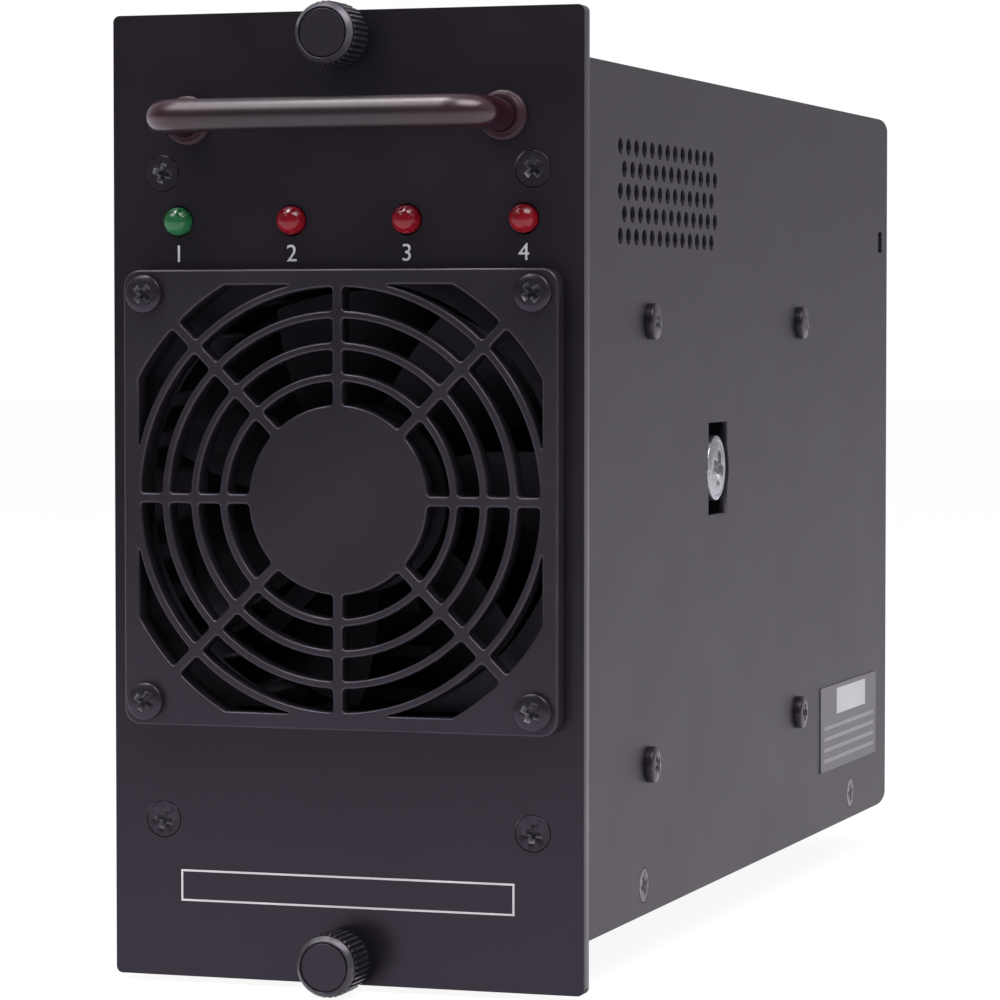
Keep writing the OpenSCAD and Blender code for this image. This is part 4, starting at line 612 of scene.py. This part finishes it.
# Handle: a 5.7 mm aluminium bar bent to a flat bow and dyed black in the anodising bath, standing in
# two flanged ferrules and drawn up by screws from behind. The dye has faded to wine near the bends.
HANDLE_X, HANDLE_Z, BAR_Y, BEND_R, BAR_R, BAR_SIDES = 29.1, 66.15, -19.2, 5.5, 2.85, 32
# How far out the dye fades and turns glossy, wandering in blotches, and the bar's grain.
FADE_FROM, FADE_TO, GLOSS_FROM, GLOSS_TO, WANDER, BLOTCH, BAR_GRAIN = 18, 36, 31, 37, 12, 8.33333, 0.5
# Faded black anodising: a bright sheen on the bar, wine-coloured toward the bends and ferrules.
faded_dye, tree, shader, place = start_finish("faded_black_anodising", specular_ior_level=0.78,
                                              specular_tint=(1.0, 0.9, 0.96, 1))
across = put(tree, "ShaderNodeSeparateXYZ", {"Vector": place}).outputs["X"]
outwards = put(tree, "ShaderNodeMath", {0: across}, operation="ABSOLUTE")
blotch = put(tree, "ShaderNodeTexNoise", {"Vector": place, "Scale": 1 / (BLOTCH * MM), "Detail": 4})
wavy = put(tree, "ShaderNodeMath", {0: blotch, 1: WANDER * MM, 2: outwards}, operation="MULTIPLY_ADD")
share = put(tree, "ShaderNodeMapRange", {"Value": wavy, 1: FADE_FROM * MM, 2: FADE_TO * MM})
tint = put(tree, "ShaderNodeValToRGB", {"Fac": share})
tint.color_ramp.elements[0].color = linear("#0c090c")
tint.color_ramp.elements[1].color = linear("#240914")
fine = put(tree, "ShaderNodeTexNoise", {"Vector": place, "Scale": 1 / (BAR_GRAIN * MM), "Detail": 3})
sheen = put(tree, "ShaderNodeMapRange", {"Value": fine, 3: 0.32, 4: 0.4})
glossed = put(tree, "ShaderNodeMapRange", {"Value": wavy, 1: GLOSS_FROM * MM, 2: GLOSS_TO * MM, 4: -0.14})
rough = put(tree, "ShaderNodeMath", {0: sheen, 1: glossed}, operation="ADD")
peel = put(tree, "ShaderNodeBump", {"Height": fine, "Distance": 0.01 * MM, "Strength": 0.5})
wire(tree, shader, {"Base Color": tint, "Roughness": rough, "Normal": peel})

bends = [radians(a) for a in range(0, 91, 5)]
route = [(HANDLE_X, PANEL_FRONT, 0)]
route += [(HANDLE_X - BEND_R * (1 - cos(a)), BAR_Y + BEND_R * (1 - sin(a)), a) for a in bends]
route += [(-x, y, pi - a) for x, y, a in reversed(route)]
around = [tau * i / BAR_SIDES for i in range(BAR_SIDES)]
bar = bmesh.new()
rings = []
for x, y, bent in route:
    beside, above = Vector((cos(bent), -sin(bent), 0)) * BAR_R, Vector((0, 0, BAR_R))
    rings.append([bar.verts.new((Vector((x, y, HANDLE_Z)) + beside * cos(a) + above * sin(a)) * MM)
                  for a in around])
skinned(bar, rings)
fit(made("handle_bow", bar, faded_dye), "black_handle", "handle_bar")

# Ferrule finish: the same faded dye, duller over the turned ridges.
ferrule_dye = grained_finish("dull_wine_anodising", "#1c0811", "#2a0f1a", 0.3, (0.38, 0.55), 0.02, worn="#4a3841",
                             specular_tint=(1.0, 0.85, 0.93, 1))
FERRULE = [(2.86, 0), (4.15, 0), (4.25, 0.1), (4.25, 0.5), (4.05, 0.62), (4.05, 0.78), (4.22, 0.9), (4.22, 1.25),
           (4.0, 1.45), (3.84, 1.5), (3.84, 1.66), (3.88, 1.75), (3.7, 2.05), (3.5, 2.38), (3.0, 2.4), (2.86, 2.3)]
ferrule = made("ferrule_master", turned(FERRULE, 48, ring=True), ferrule_dye)
ferrule_seats = [(x, PANEL_FRONT, HANDLE_Z) for x in (-HANDLE_X, HANDLE_X)]
fit(seated("ferrules", ferrule, ferrule_seats, FRONT), "black_handle", "handle_ferrules")


# Thumbscrews: knurled aluminium knobs pressed on captive steel screws, one above and one below the
# case. Each runs in a flanged bush, and a ring behind the panel keeps it from falling out.
THUMB_Z = 80.2
BUSH = [(2.2, -3), (3.85, -3), (3.9, -2.9), (3.9, 0), (4.4, 0), (4.4, 2.2), (4.2, 2.4), (2.35, 2.4), (2.2, 2.25)]
bush = made("bush_master", turned(BUSH, 48, ring=True), black_steel)
bush_seats = [(0, PANEL_FRONT, z) for z in (-THUMB_Z, THUMB_Z)]
fit(seated("captive_bushes", bush, bush_seats, FRONT), "black_knob", "thumbscrew_bushes")

# Turned and black-anodised aluminium: satin on the face and a little rubbed pale on the knurl; the rim's upper side is
# painted pale as a painted highlight.
knob_anodising = cool_finish("turned_black_anodising", "#161418", "#201e22", 0.2, (0.3, 0.42), 0.01, worn="#8f8d92")
KNOB = [(0, 5.7), (5.1, 5.7), (5.2, 5.8), (5.2, 12.5), (5.3, 12.55), (5.3, 13.05), (5.2, 13.2), (4.75, 13.8),
        (4.6, 13.95), (4.45, 14), (4.38, 13.93), (4.3, 13.6), (4.2, 13.6), (4.1, 13.86), (4.0, 13.92), (0, 13.92)]
# One rib of the knurl with its crest at 0: its height, its half widths and the slope of its ends.
RIBS, CREST_R, RIB_H, FOOT, CREST, CREST_WEAR = 34, 5.53, 0.45, 0.48, 0.18, 0.12
RIB_LOW, RIB_HIGH, SLOPE_L, SLOPE_H = 5.85, 12.45, 0.3, 0.2
rib = bmesh.new()
rings = []
for height, drop in ((RIB_LOW, SLOPE_H), (RIB_LOW + SLOPE_L, 0), (RIB_HIGH - SLOPE_L, 0), (RIB_HIGH, SLOPE_H)):
    rings.append([rib.verts.new(Vector((x, y, height)) * MM)
                  for x, y in ((-RIB_H, -FOOT), (-drop, -CREST), (-drop, CREST), (-RIB_H, FOOT))])
skinned(rib, rings)
rub(rib, lambda face: CREST_WEAR if face.calc_center_median().x > -SLOPE_H * MM else 0)
rib_master = made("rib_master", rib, knob_anodising)
# Screw thread steel: dull zinc, greyer than the washers inside.
thread_zinc = metal_finish("dull_zinc_steel", "#77787c", "#9d9ea3", 0.3, (0.32, 0.48), 0.006)
ROWS_A_TURN = 8


def threaded(name, radius, depth, pitch, low, high, material, sides=36):
    """Screw thread round +Z: its crest at radius, cut to depth, running out flat at both ends."""
    work = bmesh.new()
    rows = int((high - low) / pitch * ROWS_A_TURN)
    rings = []
    for i in range(rows + 1):
        height = low + (high - low) * i / rows
        fade = max(0, 1 - min(height - low, high - height) / pitch)
        ring = []
        for j in range(sides):
            angle = tau * j / sides
            phase = (height / pitch - j / sides) % 1
            r = radius - depth * max(abs(2 * phase - 1), fade)
            ring.append(work.verts.new(Vector((r * cos(angle), r * sin(angle), height)) * MM))
        rings.append(ring)
    skinned(work, rings)
    return made(name, work, material, crease=60)


NECK = [(0, -6.4), (1.9, -6.4), (1.9, 5.6), (0, 5.6)]
TIP = [(0, -14.3), (1.7, -14.3), (2.0, -13.9), (2.0, -13.5), (0, -13.5)]
RETAINER = [(2.2, -6), (3.3, -6), (3.4, -5.9), (3.4, -5.3), (3.3, -5.2), (2.2, -5.2)]
# The knob's rim is painted paler toward its top, a painted highlight of the light from above.
RIM_Z, RIM_R, RIM_HIGHLIGHT = 13.1, 4.5, 1.0


def rim_wear(face):
    """Painted highlight on a face of the knob: on the rim only, growing from none at its bottom to RIM_HIGHLIGHT at
    its top, where the light from above falls.
    """
    middle = face.calc_center_median() / MM
    out = middle.xy.length
    return RIM_HIGHLIGHT * (1 + middle.y / out) / 2 if middle.z > RIM_Z and out > RIM_R else 0


for side, height in (("upper", THUMB_Z), ("lower", -THUMB_Z)):
    stand = Matrix.Translation(Vector((0, 0, height)) * MM) @ TO_FRONT
    core = turned(KNOB, 60)
    rub(core, rim_wear)
    knob = grown(made(side + "_knurled_knob", core, knob_anodising), ring_tree, Item=rib_master, Count=RIBS,
                 Radius=CREST_R * MM, Finish=knob_anodising)
    knob.data.set_sharp_from_angle(angle=radians(30))
    neck, tip = made("neck", turned(NECK, 32), thread_zinc), made("tip", turned(TIP, 32), thread_zinc)
    thread = threaded("thread", radius=2.5, depth=0.45, pitch=0.8, low=-13.9, high=-6.3, material=thread_zinc)
    captive = joined(side + "_captive_screw", neck, tip, thread)
    ring = made(side + "_retaining_ring", turned(RETAINER, 40, ring=True), black_steel)
    for piece in (knob, captive, ring):
        piece.data.transform(stand)
    fit(knob, "black_knob", side + "_knob", body=side + "_thumbscrew")
    fit(captive, "plated_steel", side + "_screw", body=side + "_thumbscrew")
    fit(ring, "plated_steel", side + "_retainer", body=side + "_ring")
bpy.data.objects.remove(rib_master)


# Lamps: four 5 mm LEDs in tinted epoxy pushed through the panel from behind, one green and three
# red, soldered to a narrow board on two brass standoffs.
MILK, SHAKE, GLOW_FROM, GLOW_TO = 1.11111, 1.2, 47.6, 50.4


def lens_finish(name, deep, bright):
    """Tinted epoxy: glossy, cloudy inside, paler toward the dome's lower half where light gathers."""
    material, tree, shader, place = start_finish(name, roughness=0.12, specular_ior_level=0.3, coat_weight=0.25,
                                                 coat_roughness=0.03, subsurface_weight=0.25, subsurface_scale=0.001)
    height = put(tree, "ShaderNodeSeparateXYZ", {"Vector": place}).outputs["Z"]
    milky = put(tree, "ShaderNodeTexNoise", {"Vector": place, "Scale": 1 / (MILK * MM), "Detail": 2})
    shaken = put(tree, "ShaderNodeMath", {0: milky, 1: SHAKE * MM, 2: height}, operation="MULTIPLY_ADD")
    low = put(tree, "ShaderNodeMapRange", {"Value": shaken, 1: GLOW_FROM * MM, 2: GLOW_TO * MM, 3: 1.0, 4: 0.0})
    glow = put(tree, "ShaderNodeValToRGB", {"Fac": low})
    glow.color_ramp.elements[0].color = linear(deep)
    glow.color_ramp.elements[1].color = linear(bright)
    ripple = put(tree, "ShaderNodeBump", {"Height": milky, "Distance": 0.004 * MM, "Strength": 0.3})
    wire(tree, shader, {"Base Color": glow, "Normal": ripple})
    return material


green_epoxy = lens_finish("green_tinted_epoxy", "#0f3f21", "#2a6a44")
red_epoxy = lens_finish("red_tinted_epoxy", "#560510", "#85101f")
LENS_R, LENS_L = 2.5, 3.5
BODY = [(0, -2.6), (2.9, -2.6), (3, -2.5), (3, -1.7), (2.9, -1.6), (LENS_R, -1.6)]
slants = [radians(a) for a in range(90, 0, -10)]
dome = [(LENS_R * sin(a), LENS_L + LENS_R * cos(a)) for a in slants] + [(0, LENS_L + LENS_R)]
for name, places, epoxy, slot_name, node in (
        ("green_lamp", LAMP_XS[:1], green_epoxy, "green_lens", "power_led"),
        ("red_lamps", LAMP_XS[1:], red_epoxy, "red_lens", "alarm_leds")):
    led = made("lamp_master", turned(BODY + dome, 40), epoxy)
    fit(seated(name, led, [(x, 0, LAMP_Z) for x in places], FRONT), slot_name, node)

# Glass-epoxy board: green solder mask over a weave 0.5 mm apart, with tracks showing as paler lines.
WEAVE, TRACK_STEP = 0.5, 4
green_mask, tree, shader, place = start_finish("green_solder_mask", roughness=0.35)
weave = put(tree, "ShaderNodeTexChecker", {"Vector": place, "Scale": 1 / (WEAVE * MM)}).outputs["Fac"]
tracks = put(tree, "ShaderNodeTexVoronoi", {"Vector": place, "Scale": 1 / (TRACK_STEP * MM)},
             feature="DISTANCE_TO_EDGE")
line = put(tree, "ShaderNodeMapRange", {"Value": tracks, 1: 0.04, 2: 0.08, 3: 1.0, 4: 0.0})
mask = put(tree, "ShaderNodeMix", {"Factor": line, 6: linear("#12492a"), 7: linear("#2d7a48")}, data_type="RGBA")
threads = put(tree, "ShaderNodeBump", {"Height": weave, "Distance": 0.01 * MM, "Strength": 0.3})
wire(tree, shader, {"Base Color": mask, "Normal": threads})
coat(green_mask, "led_board", "control_board")
# Nickel on brass: warm bright metal.
nickel_brass = metal_finish("nickel_plated_brass", "#b7b2a6", "#d4d0c6", 0.4, (0.18, 0.3), 0.004)
coat(nickel_brass, "led_board_standoffs", "hex_spacers", "board_standoffs", "ground_post")


# Heat sink: an extruded aluminium block with fifteen fins stands on the floor, carries the boards on
# its flat side, and ties to the right wall through four hex spacers and blackened pan-head screws.
# Extruded aluminium: silvery, with die lines along the length about 0.5 mm apart.
die_aluminium = metal_finish("extruded_aluminium", "#94979b", "#b3b6ba", 0.5, (0.28, 0.42), 0.01, stretch=(1, 0.03, 1))
coat(die_aluminium, "heat_sink")
SIDE_YS, SIDE_ZS = (41.1, 149.8), (31, -49.2)
side_screw = cross_screw(PAN_HEAD, 7.6, PAN_CROSS, black_steel)
side_seats = [(WALL_X, y, z) for y in SIDE_YS for z in SIDE_ZS]
fit(seated("cover_pan_heads", side_screw, side_seats, RIGHT, seed=11), "black_screw", "cover_pan_screws")

# Ground screw: a bright plated screw on a post behind the keyhole slot, for the frame's bonding strap.
# Handled zinc plate: greyer and patchier than the fresh plate inside.
handled_zinc = metal_finish("handled_zinc_plate", "#6a6b70", "#d6d7da", 0.8, (0.2, 0.42), 0.2, worn="#88888d")
GROUND = (38.55, 87.5, 3.1)
WIDE_HEAD = [(3.1, 0), (6.05, 0), (6.25, 0.2), (6.25, 3.1), (6.15, 3.4), (5.9, 3.56), (5.45, 3.6), (5.25, 3.46),
             (5.05, 3.66), (4.6, 3.72), (2.4, 3.93), (0, 4)]
ground = cross_screw(WIDE_HEAD, 11.2, (7.2, 2.2, 2.4), handled_zinc)
fit(seated("bright_ground_screw", ground, [GROUND], RIGHT, seed=3), "plated_steel", "ground_screw")
coat(zinc_plate, "ground_washer")


# Boards: the radio-frequency board on cream laminate lies on the heat sink between two ceramic power
# transistors, with an isolator behind it, and the control board stands over it on brass standoffs.
# Woven laminate: cream, faintly speckled, with a dull resin surface.
laminate = grained_finish("cream_laminate", "#c3bb9c", "#d8d1b6", 0.6, (0.45, 0.6), 0.02)
coat(laminate, "rf_board")
# Alumina: matt white ceramic with fine pores.
alumina = grained_finish("matt_alumina", "#d6d1c4", "#e8e4da", 0.3, (0.55, 0.7), 0.01)
coat(alumina, "rf_transistors")
coat(die_aluminium, "isolator")
coat(moulded_plastic, "control_parts")


# Rear connectors: a nickel-plated output jack and a gold-plated input jack with screw threads, a
# black power socket and a plated nine-way alarm socket, each screwed to the rear panel.
# Gold on brass: warm yellow, thin enough to show the turning marks.
gold_brass = metal_finish("gold_plated_brass", "#b08d3c", "#d6b860", 0.3, (0.16, 0.28), 0.004)
REAR_Y, JACK_Z, OUT_X, OUT_PLATE, OUT_HOLE, IN_X, IN_PLATE, IN_HOLE = 229.5, 47.0, 20, 3, 9.1, -20, 1.6, 4.3
SUNK, BORE_LOW, FLANGE_EASE = 0.2, 1, 0.3
JACK_NECK = [(0, -8.6), (4.2, -8.6), (4.5, -8.3), (4.5, 0.5), (0, 0.5)]


def jack(name, x, side, thick, thread_r, depth, pitch, length, bore, pin, material):
    """Threaded coax jack: a square flange, a threaded barrel with its bore and pin, and the inner neck."""
    barrel = threaded("barrel", thread_r, depth, pitch, thick - SUNK, thick + length, material, sides=48)
    low, high = thick + BORE_LOW, thick + length + 1
    cut(barrel, made("bore", turned([(pin, low), (bore, low), (bore, high), (pin, high)], 40, ring=True), material))
    square = bmesh.new()
    bmesh.ops.create_cube(square, size=1, matrix=Matrix.Translation(Vector((0, 0, thick / 2)) * MM)
                          @ Matrix.Diagonal((side * MM, side * MM, thick * MM, 1)))
    bmesh.ops.bevel(square, geom=square.edges, offset=FLANGE_EASE * MM, segments=2, profile=0.5, affect="EDGES")
    flange, neck = made("jack_flange", square, material), made("jack_neck", turned(JACK_NECK, 40), material)
    whole = joined(name, barrel, flange, neck)
    whole.data.transform(Matrix.Translation(Vector((x, REAR_Y, JACK_Z)) * MM) @ TO_REAR)
    return whole


fit(jack("output_jack", OUT_X, side=25.4, thick=OUT_PLATE, thread_r=7.94, depth=0.5, pitch=1.06, length=11, bore=5.24,
         pin=1.59, material=nickel_brass), "nickel_brass", "rf_output_connector")
fit(jack("input_jack", IN_X, side=12.7, thick=IN_PLATE, thread_r=3.175, depth=0.32, pitch=0.71, length=8, bore=2.1,
         pin=0.64, material=gold_brass), "gold_brass", "rf_input_connector")
fit_eased("dc_connector", "power_socket", moulded_plastic, "black_plastic", ease=0.4)
fit_eased("alarm_connector", "alarm_socket", zinc_plate, "plated_steel", ease=0.3)
POWER_X, POWER_Z, POWER_PLATE, ALARM_X, ALARM_Z, ALARM_PLATE = 17, -34, 2, 12.5, -57, 1
SMALL_HEAD = [(1.25, 0), (1.88, 0), (1.95, 0.07), (1.95, 1.2), (1.88, 1.35), (1.3, 1.5), (0.7, 1.57), (0, 1.6)]
small = cross_screw(SMALL_HEAD, 4, (2.2, 0.7, 0.75), zinc_plate)
small_seats = [(OUT_X + a, REAR_Y + OUT_PLATE, JACK_Z + b)
               for a in (-OUT_HOLE, OUT_HOLE) for b in (-OUT_HOLE, OUT_HOLE)]
small_seats += [(IN_X + s, REAR_Y + IN_PLATE, JACK_Z + s) for s in (-IN_HOLE, IN_HOLE)]
small_seats += [(x, REAR_Y + POWER_PLATE, POWER_Z) for x in (-POWER_X, POWER_X)]
small_seats += [(x, REAR_Y + ALARM_PLATE, ALARM_Z) for x in (-ALARM_X, ALARM_X)]
fit(seated("connector_heads", small, small_seats, REAR, seed=9), "plated_steel", "connector_screws")

# Inside, semi-rigid copper coax runs from the jacks to the boards, and red wires feed power and fan.
# Drawn copper tube: warm and softly shining, browned in patches.
coax_copper = metal_finish("drawn_copper_tube", "#a5683a", "#c98a58", 0.6, (0.25, 0.42), 0.006)
coat(coax_copper, "output_coax", "input_coax")
# Wire insulation: soft red plastic with a dull bloom.
wire_pvc = grained_finish("red_wire_insulation", "#86231c", "#a8372d", 0.5, (0.4, 0.55), 0.01)
coat(wire_pvc, "dc_leads", "fan_lead")


# Label: a grey film stuck low on the right wall near the rear. It is left blank, with a pale field and
# ruled lines to write on.
# Label film: mid grey, matt, slightly wrinkled by the coat under it.
label_grey = cool_finish("matt_label_film", "#676469", "#747177", 0.8, (0.5, 0.62), 0.02, worn="#7d7a80")
fit_eased("label_plate", "blank_label", label_grey, "label_film", ease=0.12)
field_ink = grained_finish("pale_label_ink", "#b4b2b6", "#c9c7ca", 0.4, (0.5, 0.62), 0.004)
rule_ink = grained_finish("faint_label_ink", "#88858a", "#96939a", 0.4, (0.5, 0.62), 0.004)
LABEL_X, FILM, RULE_W = 42.56, 0.02, 0.8
FIELD = [(182.5, 208.5, -52.4, -46.9)]
RULES = [(171.5, 216.5, z, z + RULE_W) for z in (-55.2, -57.5, -59.8, -62.1)]
for name, patches, ink in (("label_field", FIELD, field_ink), ("label_rules", RULES, rule_ink)):
    film = bmesh.new()
    for y0, y1, z0, z1 in patches:
        low, high = Vector((LABEL_X - FILM, y0, z0)) * MM, Vector((LABEL_X + FILM, y1, z1)) * MM
        bmesh.ops.create_cube(film, size=1, matrix=Matrix.Translation((low + high) / 2)
                              @ Matrix.Diagonal((*(high - low), 1)))
    fit(made(name, film, ink), "label_film")


# Stage: a white floor under the lower knob and a white room, dimmer in front than behind, with a soft box
# overhead on either side and one at the upper left front. Camera at the photograph's place, long lens.
def soft_box(name, place, target, size, power):
    """Soft square light aimed at a point."""
    light = bpy.data.lights.new(name, "AREA")
    light.shape, light.size, light.size_y, light.energy = "RECTANGLE", size[0], size[1], power
    holder = placed(name, light)
    holder.location = place
    holder.rotation_euler = (Vector(target) - Vector(place)).to_track_quat("-Z", "Y").to_euler()
    holder.visible_camera = False


soft_box("right_box", (0.5, -0.2, 0.66), (0.41, -0.06, -0.06), (0.62, 0.5), 6.4)
soft_box("left_box", (-0.165, -0.14, 0.755), (-0.255, 0, 0.035), (0.23, 0.3), 3.4)
soft_box("front_box", (-0.5, -0.6, 0.9), (0, 0, 0), (0.7, 0.5), 5.6)

# The room is mirrored with the faint cool cast of its painted walls, dim in front and bright behind.
WHITE, COOL = (1, 1, 1, 1), (0.97, 0.93, 1.0, 1)
ROOM_LIGHT, MIRROR_FRONT, MIRROR_BACK = 0.5, 0.13, 0.52
world = bpy.data.worlds.new("white_room")
bpy.context.scene.world = world
world.use_nodes = True
room = world.node_tree
room.nodes.clear()
path = put(room, "ShaderNodeLightPath").outputs
seen = put(room, "ShaderNodeMath", {0: path["Is Camera Ray"], 1: path["Is Transmission Ray"]}, operation="MAXIMUM")
direction = put(room, "ShaderNodeTexCoord").outputs["Generated"]
back = put(room, "ShaderNodeSeparateXYZ", {"Vector": direction}).outputs["Y"]
shade = put(room, "ShaderNodeMapRange", {"Value": back, 1: -0.5, 2: 0.5, 3: MIRROR_FRONT, 4: MIRROR_BACK})
mirrored = put(room, "ShaderNodeMix", {"Factor": path["Is Glossy Ray"], 2: ROOM_LIGHT, 3: shade})
strength = put(room, "ShaderNodeMix", {"Factor": seen, 2: mirrored, 3: 1.0})
cast = put(room, "ShaderNodeMix", {"Factor": path["Is Glossy Ray"], 6: WHITE, 7: COOL}, data_type="RGBA")
backdrop = put(room, "ShaderNodeBackground", {"Color": cast, "Strength": strength})
put(room, "ShaderNodeOutputWorld", {"Surface": backdrop})

# White floor paper: it lights itself to an even white, and its mirror image darkens toward the front.
PAPER_LIGHT, PAPER_DIM, PAPER_SHARE, DIM_FROM, DIM_TO = 1.08, 0.1, 0.85, -0.35, -0.75
FLOOR_Z, FLOOR_HALF = -0.0859, 6
floor_finish = bpy.data.materials.new("white_floor_paper")
floor_finish.use_nodes = True
paper = floor_finish.node_tree
paper.nodes.clear()
path = put(paper, "ShaderNodeLightPath").outputs
seen = put(paper, "ShaderNodeMath", {0: path["Is Camera Ray"], 1: path["Is Glossy Ray"]}, operation="MAXIMUM")
seen = put(paper, "ShaderNodeMath", {0: seen, 1: path["Is Transmission Ray"]}, operation="MAXIMUM")
share = put(paper, "ShaderNodeMath", {0: seen, 1: PAPER_SHARE}, operation="MULTIPLY")
spot = put(paper, "ShaderNodeTexCoord").outputs["Object"]
ahead = put(paper, "ShaderNodeSeparateXYZ", {"Vector": spot}).outputs["Y"]
mirrored = put(paper, "ShaderNodeMapRange", {"Value": ahead, 1: DIM_TO, 2: DIM_FROM, 3: PAPER_DIM, 4: PAPER_LIGHT})
level = put(paper, "ShaderNodeMix", {"Factor": path["Is Glossy Ray"], 2: PAPER_LIGHT, 3: mirrored})
matt_white = put(paper, "ShaderNodeBsdfDiffuse", {"Color": linear("#f4f4f4")})
cast = put(paper, "ShaderNodeMix", {"Factor": path["Is Glossy Ray"], 6: WHITE, 7: COOL}, data_type="RGBA")
lit_white = put(paper, "ShaderNodeEmission", {"Color": cast, "Strength": level})
mix = put(paper, "ShaderNodeMixShader", {0: share, 1: matt_white, 2: lit_white})
put(paper, "ShaderNodeOutputMaterial", {"Surface": mix})
sheet = bmesh.new()
bmesh.ops.create_grid(sheet, x_segments=8, y_segments=8, size=FLOOR_HALF)
bmesh.ops.translate(sheet, verts=sheet.verts, vec=(0, 0, FLOOR_Z))
made("studio_floor", sheet, floor_finish)

lens = bpy.data.cameras.new("photo_camera")
lens.lens, lens.sensor_width = 148.5, 36
lens.clip_start, lens.clip_end = 0.05, 50
camera = placed("photo_camera", lens)
camera.location = (0.25155, -0.67443, 0.02898)
camera.rotation_euler = (radians(90 - 2.323), 0, radians(18.386))
bpy.context.scene.camera = camera
bpy.context.scene.view_settings.view_transform = "Standard"
